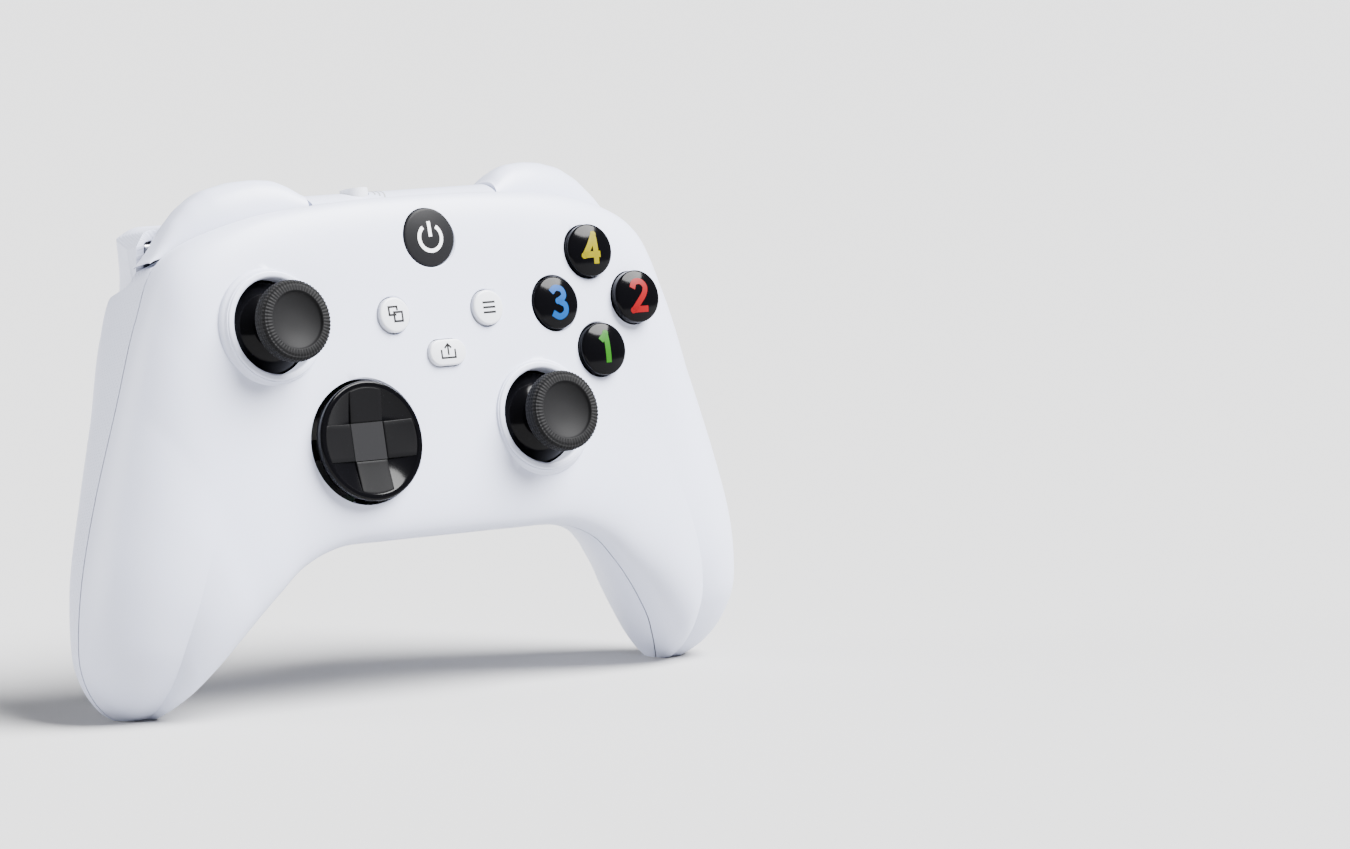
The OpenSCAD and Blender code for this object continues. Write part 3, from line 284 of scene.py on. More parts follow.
white = (0.58, 0.61, 0.75)
mats = {
    "shell": moulded("whiteShell", white, 0.42, grain=0.22, mottle=0.012, scatter=0.05),
    "grip": moulded("whiteGrip", (0.57, 0.60, 0.74), 0.48, grain=0.2, mottle=0.012,
                    dots={"pitch": 0.00085, "strength": 0.55, "height": 0.00012}),
    "bumper": moulded("whiteBumper", (0.57, 0.60, 0.74), 0.4, grain=0.2, mottle=0.012,
                      dots={"pitch": 0.00085, "strength": 0.5, "height": 0.0001, "fade": (0.011, 0.013)}),
    "trigger": moulded("whiteTrigger", (0.57, 0.60, 0.74), 0.4, grain=0.2, mottle=0.012,
                       dots={"pitch": 0.00085, "strength": 0.5, "height": 0.0001, "fade": (0.016, 0.014)}),
    "faint": moulded("markFaint", (0.30, 0.31, 0.33), 0.5, grain=0.05, mottle=0.03),
    "shoulder": moulded("whiteShoulder", (0.575, 0.605, 0.745), 0.38, grain=0.15, mottle=0.012),
    "button": moulded("whiteButton", (0.62, 0.635, 0.69), 0.34, grain=0.1, mottle=0.01),
    "rubber": moulded("stickRubber", (0.006, 0.006, 0.0065), 0.62, spec=0.1, grain=0.6, grainSize=0.00025,
                      mottle=0.15),
    "black": moulded("glossBlack", (0.0015, 0.0015, 0.002), 0.12, grain=0.02, mottle=0.1, spec=0.09),
    "pad": moulded("padGrey", (0.004, 0.004, 0.0045), 0.4, grain=0.2, mottle=0.08, spec=0.05),
    "padTop": moulded("padCentre", (0.012, 0.012, 0.013), 0.5, grain=0.2, mottle=0.06, spec=0.05),
    "guide": moulded("guideGrey", (0.009, 0.009, 0.010), 0.4, grain=0.1, mottle=0.05, spec=0.08),
    "ink": moulded("markGrey", (0.006, 0.006, 0.007), 0.5, grain=0.05, mottle=0.05, spec=0.2),
    "inkWhite": moulded("markWhite", (0.82, 0.83, 0.85), 0.45, grain=0.05, mottle=0.02),
    "yellow": moulded("markYellow", (0.17, 0.145, 0.0), 0.4, grain=0.03, mottle=0.04, spec=0.1),
    "blue": moulded("markBlue", (0.0, 0.05, 0.20), 0.4, grain=0.03, mottle=0.04, spec=0.1),
    "red": moulded("markRed", (0.17, 0.002, 0.004), 0.4, grain=0.03, mottle=0.04, spec=0.1),
    "green": moulded("markGreen", (0.012, 0.10, 0.004), 0.4, grain=0.03, mottle=0.04, spec=0.1),
    # Dark inner plastic; also the colour of the painted shade sheet in the parting gap
    "inner": moulded("innerPlasticAndGapShade", (0.03, 0.03, 0.032), 0.55, grain=0.3, mottle=0.1),
    "silicone": moulded("silicone", (0.35, 0.35, 0.37), 0.6, grain=0.2, mottle=0.05),
    "pipe": moulded("lightPipe", (0.82, 0.84, 0.86), 0.25, grain=0.05, mottle=0.02, scatter=0.2),
    # Circuit board lacquer: its green is darkened nearly to black as painted shade, so the board seen through the
    # gaps reads as a shadowed gap
    "board": moulded("boardLacquerAndPaintedShade", (0.006, 0.022, 0.012), 0.3, grain=0.3, grainSize=0.001, mottle=0.25,
                     coat=0.3),
    "wrap": moulded("cellWrap", (0.06, 0.07, 0.09), 0.25, grain=0.1, mottle=0.1, coat=0.3),
    "steel": brushed("platedSteel", (0.62, 0.63, 0.65), 0.3),
}
print("stage: materials")

# Carried-over CAD nodes take their finish by the record's slots
slotLook = {"white_shell": "shell", "white_shoulder": "shoulder", "stick_rubber": "rubber",
            "gloss_black": "black", "white_button": "button", "grey_guide": "guide", "silicone": "silicone",
            "light_pipe": "pipe", "board": "board", "inner_plastic": "inner", "steel": "steel", "cell_wrap": "wrap"}
slotOf = {s["node"]: s["material_slot"] for s in frame["record"]["subparts"]}
bodyOf = {n: b for b, ns in frame["record"]["behaviour"]["bodies"].items() for n in ns}
for name, ob in frame["nodes"].items():
    ob.data.materials.clear()
    ob.data.materials.append(mats[slotLook[slotOf[name]]])


def stands(ob, nodeName):
    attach(ob, bodyOf[nodeName])
    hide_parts(nodeName)
    return ob


def rides(ob, nodeName):
    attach(ob, bodyOf[nodeName])
    return ob


# Body stations from the middle down the right grip: outer rim, inner rim, front and rear ridge
body = {
    "rimOut": [(0, 43, -6), (20, 42.6, -6.4), (39, 40.7, -8.5), (54.2, 35.1, -13), (60.7, 23.5, -14.7), (66.3, 7, -17.2),
               (71.5, -10, -20.8), (75.3, -25, -23.4), (76.5, -37.5, -26), (75.2, -44, -27.8), (71.8, -49.2, -29.4),
               (67.5, -52.2, -30.4), (63, -53.6, -30.8)],
    "rimIn": [(0, -24.3, -6.6), (14.5, -24.3, -6.7), (26.5, -24.6, -7.1), (35, -27.6, -8.6), (41, -32.6, -10.8),
              (45.2, -36.7, -13), (49, -40.7, -15.5), (52.4, -44.6, -18.2), (56, -48.7, -22.5), (58, -50.6, -25.2),
              (59.7, -52, -27.6), (61.2, -53, -29.6), (63, -53.6, -30.8)],
    "front": [(0, 14, 0), (17.5, 14, -0.3), (33, 12, -1.1), (43.5, 5, -2.1), (49.5, -5.5, -3), (53.5, -15, -4),
              (57, -24.5, -5.2), (59.8, -33.2, -7.5), (61.7, -40.3, -11), (62.3, -45, -14.5), (62.6, -48.8, -18.8),
              (62.8, -51.6, -24), (63, -53.6, -30.8)],
    "rear": [(0, 20, -33), (19, 20.5, -33), (35.5, 23, -34.5), (46.5, 25.5, -39), (50.3, 18.5, -39.7), (52.2, 4.5, -39.5),
             (54.6, -8.5, -39.8), (56.8, -22, -40), (58.8, -36, -38.4), (59.7, -42.5, -37), (60.6, -47.2, -35.4),
             (61.6, -50.8, -33.4), (63, -53.6, -30.8)],
    "wall": 2.0, "seam": 0.38, "lastRib": 11.5, "ribStep": 1 / 12, "quarter": 22,
}


# Smooth curve through the stations, mirrored on the left half
def along(name, t):
    pts = np.asarray(body[name], float)
    ext = np.concatenate([pts[1:2] * [-1, 1, 1], pts, pts[-1:], pts[-1:]])
    a = np.abs(t)
    i = np.floor(a).astype(int)
    r = blend(ext, i, (a - i)[:, None])
    r[:, 0] *= np.where(t < 0, -1, 1)
    return r


def ramp(a, b, t):
    return a + (b - a) * np.clip(t, 0, 1)


# Quarter of a superellipse from the rim to the ridge, drawn in by an inset that shrinks where the grip closes
def halfRib(rims, ridges, t, n, inset, drop):
    rim = along(rims, t) - [0, 0, drop]
    ridge = along(ridges, t)
    span = (ridge - rim) * [1, 1, 0]
    length = np.linalg.norm(span, axis=1, keepdims=True)
    rim = rim + span / length * np.minimum(inset, 0.4 * length)
    high = ridge[:, 2:3] - rim[:, 2:3]
    ridge = ridge - np.sign(high) * np.minimum(inset, 0.4 * np.abs(high)) * [0, 0, 1]
    u = np.linspace(0, 1, body["quarter"] + 1)
    q = np.pi / 2 * (u ** 3 * (10 - 15 * u + 6 * u * u))
    e = 2 / np.asarray(n, float)[:, None]
    a = 1 - np.cos(q)[None] ** e
    b = np.sin(q)[None] ** e
    a[:, -1] = 1
    plan = rim[:, None, :2] + (ridge - rim)[:, None, :2] * a[..., None]
    z = rim[:, None, 2] + (ridge - rim)[:, None, 2] * b
    return np.concatenate([plan, z[..., None]], -1)


def frontRib(t, inset):
    at = np.abs(t)
    out = halfRib("rimOut", "front", t, ramp(4.5, 2.3, (at - 1) / 4), inset, 0)
    inn = halfRib("rimIn", "front", t, ramp(4.5, 2.5, (at - 1) / 7), inset, 0)
    return np.concatenate([out, inn[:, ::-1][:, 1:]], 1)


def rearOut(t, inset):
    return halfRib("rimOut", "rear", t, ramp(2.8, 2.1, np.abs(t) / 6), inset, body["seam"])


def rearIn(t, inset):
    return halfRib("rimIn", "rear", t, ramp(1.9, 2.1, np.abs(t) / 5), inset, body["seam"])


def rearRib(t, inset):
    return np.concatenate([rearOut(t, inset), rearIn(t, inset)[:, ::-1][:, 1:]], 1)


def stops(a, b):
    return np.linspace(a, b, int(round((b - a) / body["ribStep"])) + 1)


# Closed solid between an outer and an inner grid, with a uv of lengths along and across
def thickPatch(name, outer, inner, mat):
    n, m = outer.shape[:2]
    v = np.concatenate([outer.reshape(-1, 3), inner.reshape(-1, 3)])
    faces = [gridFaces(n, m, flip=False), gridFaces(n, m, flip=True, start=n * m)]
    i = np.arange(n - 1)
    k = np.arange(m - 1)
    b = n * m
    faces.append(np.stack([i * m, (i + 1) * m, b + (i + 1) * m, b + i * m], -1))
    faces.append(np.stack([i * m + m - 1, b + i * m + m - 1, b + (i + 1) * m + m - 1, (i + 1) * m + m - 1], -1))
    faces.append(np.stack([k, b + k, b + k + 1, k + 1], -1))
    e = (n - 1) * m
    faces.append(np.stack([e + k, e + k + 1, b + e + k + 1, b + e + k], -1))
    across = np.concatenate([np.zeros((n, 1)), np.cumsum(np.linalg.norm(np.diff(outer, axis=1), axis=2), 1)], 1)
    mid = outer[:, m // 2]
    lengthwise = np.concatenate([[0], np.cumsum(np.linalg.norm(np.diff(mid, axis=0), axis=1))])
    uv = np.stack([np.repeat(lengthwise[:, None], m, 1), across], -1).reshape(-1, 2) / 1000.0
    ob = addPiece(name, toRow(v), np.concatenate(faces), mat, uv=np.concatenate([uv, uv]))
    fixNormals(ob)
    return ob


def fixNormals(ob):
    bm = bmesh.new()
    bm.from_mesh(ob.data)
    bmesh.ops.recalc_face_normals(bm, faces=bm.faces)
    bm.to_mesh(ob.data)
    bm.free()


# Closed prism between two rings of the same number of points
def ringSolid(name, low, high):
    n = len(low)
    sides = [(i, (i + 1) % n, n + (i + 1) % n, n + i) for i in range(n)]
    ends = [tuple(range(n))[::-1], tuple(range(n, 2 * n))]
    ob = addPiece(name, toRow(np.concatenate([low, high])), ends + sides)
    fixNormals(ob)
    return ob


def latheTool(name, site, profile, segs=96):
    v, f = lathe(profile, segs)
    ob = addPiece(name, toRow(shift(v, site)), f)
    fixNormals(ob)
    return ob


def prismTool(name, outline, z0, z1):
    o = np.asarray(outline, float)
    n = len(o)
    return ringSolid(name, np.column_stack([o, np.full(n, z0)]), np.column_stack([o, np.full(n, z1)]))


# Box below the floor, in the row frame, which trims the grip tips
def floorTool():
    lo, hi = (-0.2, -0.2, -0.1), (0.2, 0.2, 0.0)
    corners = ((lo[0], lo[1]), (hi[0], lo[1]), (hi[0], hi[1]), (lo[0], hi[1]))
    v = np.array([(x, y, z) for z in (lo[2], hi[2]) for x, y in corners])
    sides = [(0, 1, 5, 4), (1, 2, 6, 5), (2, 3, 7, 6), (3, 0, 4, 7)]
    ob = addPiece("floorTool", v, [(3, 2, 1, 0), (4, 5, 6, 7)] + sides)
    fixNormals(ob)
    return ob


def boxTool(name, lo, hi):
    return prismTool(name, [(lo[0], lo[1]), (hi[0], lo[1]), (hi[0], hi[1]), (lo[0], hi[1])], lo[2], hi[2])


# Control sites
face = {"fall": 1.7, "stickX": 38.0, "stickY": 19.0, "padX": 21.0, "lowStickY": -3.2, "padY": -5.1,
        "viewX": 11.1, "viewY": 19.1, "shareY": 10.9, "guideY": 34.0, "spread": 10.0}
wide = 90.0


def faceZ(x):
    return -face["fall"] * (x / 40.0) ** 2


sites = {
    "left": (-face["stickX"], face["stickY"], faceZ(face["stickX"])),
    "right": (face["padX"], face["lowStickY"], faceZ(face["padX"])),
    "pad": (-face["padX"], face["padY"], faceZ(face["padX"])),
    "view": (-face["viewX"], face["viewY"], faceZ(face["viewX"])),
    "menu": (face["viewX"], face["viewY"], faceZ(face["viewX"])),
    "share": (0.0, face["shareY"], 0.0),
    "guide": (0.0, face["guideY"], -0.3),
}
for nameKey, dx, dy in (("east", 1, 0), ("north", 0, 1), ("west", -1, 0), ("south", 0, -1)):
    spot = (face["stickX"] + face["spread"] * dx, face["stickY"] + face["spread"] * dy)
    sites[nameKey] = spot + (faceZ(face["stickX"]),)


# Opening with a rounded edge: straight wall, then a quarter round outwards at the face
def holeTool(site, r, edge, lift=0.0):
    top = arcPoints(r + edge, lift - edge, edge, 180, 90, 6)
    return latheTool("hole", site, [(r, -13)] + top + [(r + edge, lift + 4)])


# A rounded slot's outline, length along x
def pillOutline(w, h, n=20):
    a = np.linspace(-np.pi / 2, np.pi / 2, n)
    right = np.stack([(w - h) / 2 + h / 2 * np.cos(a), h / 2 * np.sin(a)], -1)
    return np.concatenate([right, -right])


ring = {"hole": 9.4, "outer": 10.8, "height": 1.1}
ribs = stops(-body["lastRib"], body["lastRib"])
front = thickPatch("frontShell", frontRib(ribs, 0), frontRib(ribs, body["wall"]), mats["shell"])
rings = []
for key in ("left", "right"):
    prof = [(8.0, -2.5), (ring["outer"] + 1.2, -2.5), (ring["outer"] + 1.1, -0.6)]
    prof += arcPoints(ring["outer"] + 1.1, ring["height"] - 0.35, 0.9, 250, 180, 5)
    prof += arcPoints(ring["outer"] - 0.35, ring["height"] - 0.35, 0.35, 0, 90, 6) + [(8.0, ring["height"])]
    rings.append(latheTool("ring", sites[key], prof, 128))
carve(front, rings, "UNION")
tools = [holeTool(sites[k], ring["hole"], 0.55, ring["height"]) for k in ("left", "right")]
tools.append(holeTool(sites["pad"], 12.3, 0.4))
tools += [holeTool(sites[k], 5.5, 0.25) for k in ("east", "north", "west", "south")]
tools += [holeTool(sites[k], 3.7, 0.25) for k in ("view", "menu")]
tools.append(holeTool(sites["guide"], 6.0, 0.25))
tools.append(prismTool("hole", pillOutline(9.0, 5.6) + [0, face["shareY"]], -12, 4))
carve(front, tools + [floorTool()])
stands(front, "front_shell")
print("stage: front shell", len(front.data.polygons))

# Painted shade in the parting gap: a dark sheet a little below the surface, along the outer and the inner rim, stands
# in for the gap's shadow
gapShade = {"sunk": 0.35, "thick": 0.4, "over": 0.25, "lastRib": 10.4}
gapShadeT = stops(-gapShade["lastRib"], gapShade["lastRib"])
for label, column in (("Outer", 0), ("Inner", -1)):
    grids = []
    for depth in (gapShade["sunk"], gapShade["sunk"] + gapShade["thick"]):
        rim = frontRib(gapShadeT, depth)[:, column]
        grids.append(np.stack([rim + [0, 0, gapShade["over"]], rim - [0, 0, body["seam"] + gapShade["over"]]], 1))
    rides(thickPatch("paintedGapShade" + label, grids[0], grids[1], mats["inner"]), "front_shell")

# Rear shell, side grips and battery cover from the same ribs
door = {"low": 0.0, "half": 28.5, "corner": 3.5, "thick": 1.8}


def doorOutline(grow):
    c = door["corner"] + grow
    a = np.radians(np.linspace(180, 270, 12))
    x = -(door["half"] - door["corner"]) + c * np.cos(a)
    y = door["low"] + door["corner"] + c * np.sin(a)
    left = np.stack([x, y], -1)
    right = left[::-1] * [-1, 1]
    return np.concatenate([left, right, [[door["half"] + grow, 60], [-door["half"] - grow, 60]]])


trig = {"x": 46.0, "pinY": 38.5, "pinZ": -24.0, "r": 19.4, "half": 12.2, "out": 7.4, "gap": 0.5, "round": 8.0,
        "outRound": 3.0}


# Barrel round the trigger pin, with rounded ends
def barrelTool(side, r, half):
    rd = trig["round"]
    rounds = arcPoints(r - rd, -half + rd, rd, -90, 0, 14) + arcPoints(r - rd, half - rd, rd, 0, 90, 14)
    prof = [(0.05, -half)] + rounds + [(0.05, half)]
    v, f = lathe(prof, 128)
    v = np.stack([v[:, 2], v[:, 0], v[:, 1]], -1) + [trig["x"], trig["pinY"], trig["pinZ"]]
    v[:, 0] *= side
    ob = addPiece("barrel", toRow(v), f)
    fixNormals(ob)
    return ob


# Barrel cut off at the trigger's outer end and, on request, at a depth below the face
def pocketTool(side, front=10.0):
    ob = barrelTool(side, trig["r"] + trig["gap"], trig["half"] + trig["gap"])
    ends = sorted((side * (trig["x"] + trig["out"] + trig["gap"]), side * wide))
    beyond = boxTool("beyond", (ends[0], 0, -wide), (ends[1], wide, wide))
    carve(ob, [beyond, boxTool("ahead", (-wide, 0, front), (wide, wide, wide))])
    return ob


shoulder = {"y": 36.0, "z": -20.2}
collar = {"x": 33.8, "top": 60.0, "lipZ": -20.9, "edge": [(33.5, -17.6), (32.1, -20.3), (31, -23.3), (30.5, -28),
                                                         (30.2, -36.4), (25.5, -46), (22, -60)],
          "lipTop": [(44, 36), (50, 35.6), (53, 34.5), (56, 33.5), (58, 33.2), (90, 33.2)], "lipFoot": 20.0}


# Prism along x from the collar's slanted edge upwards, which opens the shells round a trigger
def collarTool(side, front=0.0):
    e = np.asarray(collar["edge"], float)
    start = np.interp(-front, -e[:, 1], e[:, 0])
    behind = e[e[:, 1] < front]
    o = np.concatenate([[(start, front)], behind, [(collar["top"], behind[-1, 1]), (collar["top"], front)]])
    near, far = (np.column_stack([np.full(len(o), x * side), o]) for x in (collar["x"], wide))
    return ringSolid("collar", near, far)


quarter = body["quarter"]
rear = thickPatch("rearShell", rearRib(ribs, 0)[:, quarter:], rearRib(ribs, body["wall"])[:, quarter:], mats["shell"])
tops = stops(-3.0, 3.0)
upperOut = rearRib(tops, 0)[:, :quarter + 2]
upperIn = rearRib(tops, body["wall"])[:, :quarter + 2]
upper = thickPatch("rearUpper", upperOut, upperIn, mats["shell"])
carve(rear, [upper], "UNION")
jack = {"x": 6.0, "z": -12.5, "r": 3.4, "along": (-30.0, -8.0)}
port = {"x": -9.0, "z": -12.5, "width": 13.4, "height": 4.8, "along": (-30.0, -18.0)}
slot = {"y": -9.0, "width": 8.0, "height": 1.6, "from": -32.0, "to": -24.0}
low, high = jack["along"]
v, f = lathe([(0.05, low), (jack["r"], low), (jack["r"], high), (0.05, high)], 48)
jackHole = addPiece("jack", toRow(np.stack([v[:, 0] + jack["x"], v[:, 2], v[:, 1] + jack["z"]], -1)), f)
fixNormals(jackHole)
pill = pillOutline(port["width"], port["height"])
mouth = pill + [port["x"], port["z"]]
portRings = [np.column_stack([mouth[:, 0], np.full(len(mouth), y), mouth[:, 1]]) for y in port["along"]]
portHole = ringSolid("port", *portRings)
slotCut = prismTool("slot", pillOutline(slot["width"], slot["height"]) + [0, slot["y"]], slot["from"], slot["to"])
carve(rear, [prismTool("door", doorOutline(body["seam"]), -50, -8),
             boxTool("room", (-wide, shoulder["y"], shoulder["z"]), (wide, wide, 0)), jackHole, portHole, slotCut,
             floorTool(), collarTool(-1), collarTool(1), pocketTool(-1), pocketTool(1)])
stands(rear, "rear_shell")
print("stage: rear shell", len(rear.data.polygons))

cover = thickPatch("batteryCover", rearRib(tops, 0), rearRib(tops, door["thick"]), mats["shell"])
carve(cover, [prismTool("door", doorOutline(0), -50, -5)], "INTERSECT")
carve(cover, [boxTool("room", (-wide, shoulder["y"], shoulder["z"] - body["seam"]), (wide, wide, 0))])
stands(cover, "battery_cover")

gripT = stops(3.03, body["lastRib"])
lipT = stops(2.6, 3.03)


# Prism ahead of the lip's rear edge, from the lip's top line up or down to a given height
def lipTool(side, end):
    line = collar["lipTop"]
    o = np.asarray([(line[0][0], end)] + line + [(line[-1][0], end)], float) * [side, 1]
    return prismTool("lipTool", o, collar["lipZ"], 10.0)


for side, label in ((-1, "left"), (1, "right")):
    o = rearOut(gripT, 0)
    i = rearOut(gripT, body["wall"])
    back = (along("rimOut", gripT) - along("rear", gripT)) * [1, 1, 0]
    size = np.linalg.norm(back, axis=1, keepdims=True)
    pull = back / size * np.minimum(body["seam"], 0.3 * size)
    o[:, -1] += pull
    i[:, -1] += pull
    o[..., 0] *= side
    i[..., 0] *= side
    grip = thickPatch(label + "SideGrip", o, i, mats["grip"])
    carve(grip, [pocketTool(side, collar["lipZ"]), collarTool(side, collar["lipZ"]), lipTool(side, collar["top"]),
                 floorTool()])
    lipOut, lipIn = (rearOut(lipT, depth) * [side, 1, 1] for depth in (0, body["wall"]))
    lip = thickPatch("lip", lipOut, lipIn, mats["grip"])
    carve(lip, [lipTool(side, collar["lipFoot"])], "INTERSECT")
    carve(grip, [lip], "UNION")
    stands(grip, label + "_side_grip")
print("stage: grips and cover")

# Bumpers: an arch from the face's rim over the crest to the rear edge
bumper = {"from": 22.4, "to": 56.0, "thick": 1.7, "tuck": [(50, -0.8), (54, -0.2), (56, 1.3)],
          "thin": [(46, 1.0), (56, 0.2)], "ease": 1.2, "ahead": 1.2, "clear": 0.15,
          "crest": [(22.4, 45.4), (25, 47.4), (28, 48.8), (32, 49.17), (37, 49.1), (42, 48), (46, 45.6), (50, 42),
                    (53, 38.2), (56, 34.8)],
          "rearY": [(22.4, 41.6), (28, 41.4), (33, 41.6), (37, 43), (42, 43.4), (46, 41.8), (50, 38.4), (53, 35.6),
                    (56, 34.3)],
          "rearZ": [(22.4, -19.8), (28, -19.8), (33, -19.8), (37, -22.6), (42, -23.2), (46, -22.0), (50, -21.3),
                    (53, -20.9), (56, -20.8)]}


# Value from a table at x, averaged over a short span so that its corners are rounded
def eased(table, x):
    t = np.asarray(table, float)
    k = np.linspace(-1, 1, 9)
    w = (1 - k * k) / np.sum(1 - k * k)
    near = np.clip(x + bumper["ease"] * k[:, None], t[0, 0], t[-1, 0])
    return w @ np.interp(near, t[:, 0], t[:, 1])


def bumperArch(x, inset, steps=40):
    t = np.linspace(0, 4, 200)
    rim = along("rimOut", t)
    inset = inset * eased(bumper["thin"], x)
    fy = np.interp(x, rim[:, 0], rim[:, 1]) + eased(bumper["tuck"], x)
    fz = np.interp(x, rim[:, 0], rim[:, 2]) - body["seam"] - bumper["clear"] - inset
    by = eased(bumper["rearY"], x)
    bz = eased(bumper["rearZ"], x) + inset
    top = eased(bumper["crest"], x) - inset
    mid = (fz + bz) / 2 + bumper["ahead"]
    q = np.linspace(0, np.pi, steps + 1)
    ey = np.where(q[None] <= np.pi / 2, fy[:, None], by[:, None])
    ez = np.where(q[None] <= np.pi / 2, fz[:, None], bz[:, None])
    c = np.abs(np.cos(q)) ** 0.85
    h = np.sin(np.clip(q, 0, np.pi)) ** 0.7
    y = ey + (top[:, None] - ey) * h[None]
    z = mid[:, None] + (ez - mid[:, None]) * c[None]
    return np.stack([np.repeat(x[:, None], steps + 1, 1), y, z], -1)


bx = np.linspace(bumper["from"], bumper["to"], 75)
for side, label in ((-1, "left"), (1, "right")):
    o = bumperArch(bx, 0)
    i = bumperArch(bx, bumper["thick"])
    o[..., 0] *= side
    i[..., 0] *= side
    stands(thickPatch(label + "Bumper", o, i, mats["bumper"]), label + "_bumper")
print("stage: bumpers")

# Triggers: a horn profile about the pin, carried across x and held inside the barrel, the side tapers and the
# falling top
horn = {"profile": [(3.2, 3.0), (4.0, -1.0), (4.6, -4.0), (5.5, -7.6), (5.0, -9.4), (3.2, -9.9), (0.0, -10.2),
                    (-4.0, -11.2), (-8.0, -13.8), (-10.4, -16.4), (-12.4, -17.2), (-14.6, -15.6), (-17.6, -10.5),
                    (-17.2, -4.8)],
        "wall": 1.8, "from": 33.95, "to": 53.3, "mouth": (-7.0, -1.0), "soft": 1.4,
        "fall": [(33, 6.2), (47, 6.2), (51, 3.6), (54, -0.5), (58.5, -6)],
        "frontZ": [(33, 8), (40, 8), (42, 1.3), (60, 1.3)],
        "wideX": (33.9, 53.4), "narrowX": (36.5, 49.5), "taperZ": (-2.0, -15.0)}


# Smooth lower of two curves: they blend over a band of width k
def softMin(a, b, k):
    h = np.clip(0.5 + 0.5 * (b - a) / k, 0, 1)
    return b + (a - b) * h - k * h * (1 - h)


def hornGrid(x0, x1, wall):
    p = finePath(horn["profile"], sub=8)
    d = np.gradient(p, axis=0)
    d /= np.linalg.norm(d, axis=1, keepdims=True)
    p = p + wall * np.stack([d[:, 1], -d[:, 0]], -1)
    close = np.array([0.03, 0.25, 0.5, 0.75, 0.93])
    x = (x0 + x1) / 2 - (x1 - x0) / 2 * np.cos(np.linspace(0, np.pi, 71))
    x = np.concatenate([np.full(5, x0), x, np.full(5, x1)])
    shrink = np.concatenate([close, np.ones(71), close[::-1]])
    half = np.where(x < trig["x"], trig["half"], trig["out"])
    rd = np.where(x < trig["x"], trig["round"], trig["outRound"])
    over = np.maximum(np.abs(x - trig["x"]) - (half - rd), 0)
    reach = trig["r"] - rd + np.sqrt(np.maximum(rd ** 2 - over ** 2, 0)) - wall
    size = np.hypot(p[:, 0], p[:, 1])
    held = softMin(size[None], reach[:, None], horn["soft"]) / size[None]
    y = p[None, :, 0] * held
    z = p[None, :, 1] * held
    y = softMin(y, np.interp(x, *np.transpose(horn["fall"]))[:, None] - wall, horn["soft"])
    (w0, w1), (n0, n1), (t0, t1) = horn["wideX"], horn["narrowX"], horn["taperZ"]
    share = np.minimum((w1 - x) / (w1 - n1), (x - w0) / (n0 - w0))
    z = -softMin(-z, -(t0 + (t1 - t0) * share + wall)[:, None], horn["soft"])
    z = np.minimum(z, np.interp(x, *np.transpose(horn["frontZ"]))[:, None])
    c = horn["mouth"]
    y = c[0] + (y - c[0]) * shrink[:, None] + trig["pinY"]
    z = c[1] + (z - c[1]) * shrink[:, None] + trig["pinZ"]
    return np.stack([np.repeat(x[:, None], y.shape[1], 1), y, z], -1)


for side, label in ((-1, "left"), (1, "right")):
    o = hornGrid(horn["from"], horn["to"], 0.0) * [side, 1, 1]
    i = hornGrid(horn["from"] + horn["wall"], horn["to"] - horn["wall"], horn["wall"]) * [side, 1, 1]
    stands(thickPatch(label + "Trigger", o, i, mats["trigger"]), label + "_trigger")
print("stage: triggers")

# Stick caps: a rolled rim with a diamond knurl round its side and a dished top
stick = {"drop": 8.2, "capLift": 4.9, "capR": 8.05, "capT": 4.1, "domeR": 10.7, "domeWall": 0.9,
         "knurl": 0.15, "teeth": 32, "weave": 4.4}


def capSurface(segs=360):
    r, t, z = stick["capR"], stick["capT"], stick["capLift"]
    dish = r - 2.3
    prof = [(0.05, z + 0.4), (r - 2.2, z)] + arcPoints(r - 1.7, z + 1.7, 1.7, -75, 0, 10)
    side0 = len(prof)
    prof += [(r, z + 1.7 + k * (t - 3.0) / 8) for k in range(1, 8)]
    prof += arcPoints(r - 1.3, z + t - 1.3, 1.3, 0, 95, 12)
    side1 = len(prof)
    prof += arcPoints(dish + 0.2, z + t - 0.35, 0.35, 80, 170, 4)[1:]
    prof += [(dish * k, z + t - 1.7 + 1.35 * k ** 2.4) for k in np.linspace(0.96, 0.02, 22)]
    v, f = lathe(prof, segs)
    g = v.reshape(len(prof), segs, 3)
    a = np.arange(segs) / segs * 2 * np.pi
    row = np.arange(len(prof))
    band = ((row > side0 - 6) & (row < side1)).astype(float)[:, None]
    s = np.concatenate([[0], np.cumsum(np.hypot(*np.diff(np.asarray(prof), axis=0).T))])[:, None]
    around, up = stick["teeth"] * a[None], stick["weave"] * s
    knurl = np.cos(around + up) * np.cos(around - up)
    d = np.gradient(np.asarray(prof), axis=0)
    d /= np.linalg.norm(d, axis=1, keepdims=True)
    depth = band * (knurl - 1) * stick["knurl"]
    outward = [d[:, 1:2] * np.cos(a), d[:, 1:2] * np.sin(a), -d[:, 0:1] * np.ones((1, segs))]
    g += depth[..., None] * np.stack(outward, -1)
    return g.reshape(-1, 3), f


for key in ("left", "right"):
    site = np.asarray(sites[key])
    v, f = capSurface()
    cap = addPiece(key + "StickCap", toRow(shift(v, site)), f, mats["rubber"], sharp=40)
    fixNormals(cap)
    stands(cap, key + "_stick_cap")
    r = stick["domeR"]
    low = math.degrees(math.asin(2.0 / r))
    dome = arcPoints(0, 0, r - stick["domeWall"], 72, low, 24) + arcPoints(0, 0, r, low, 74, 60)
    prof = [(2.75, 3.0), (2.75, 8.9)] + dome + [(2.9, 10.45), (2.8, 10.8), (2.8, 14.0), (1.7, 14.05)]
    v, f = lathe(prof, 160)
    foot = site - [0, 0, stick["drop"]]
    post = addPiece(key + "StickPost", toRow(shift(v, foot)), f, mats["black"], sharp=40)
    fixNormals(post)
    stands(post, key + "_stick_post")
print("stage: sticks")

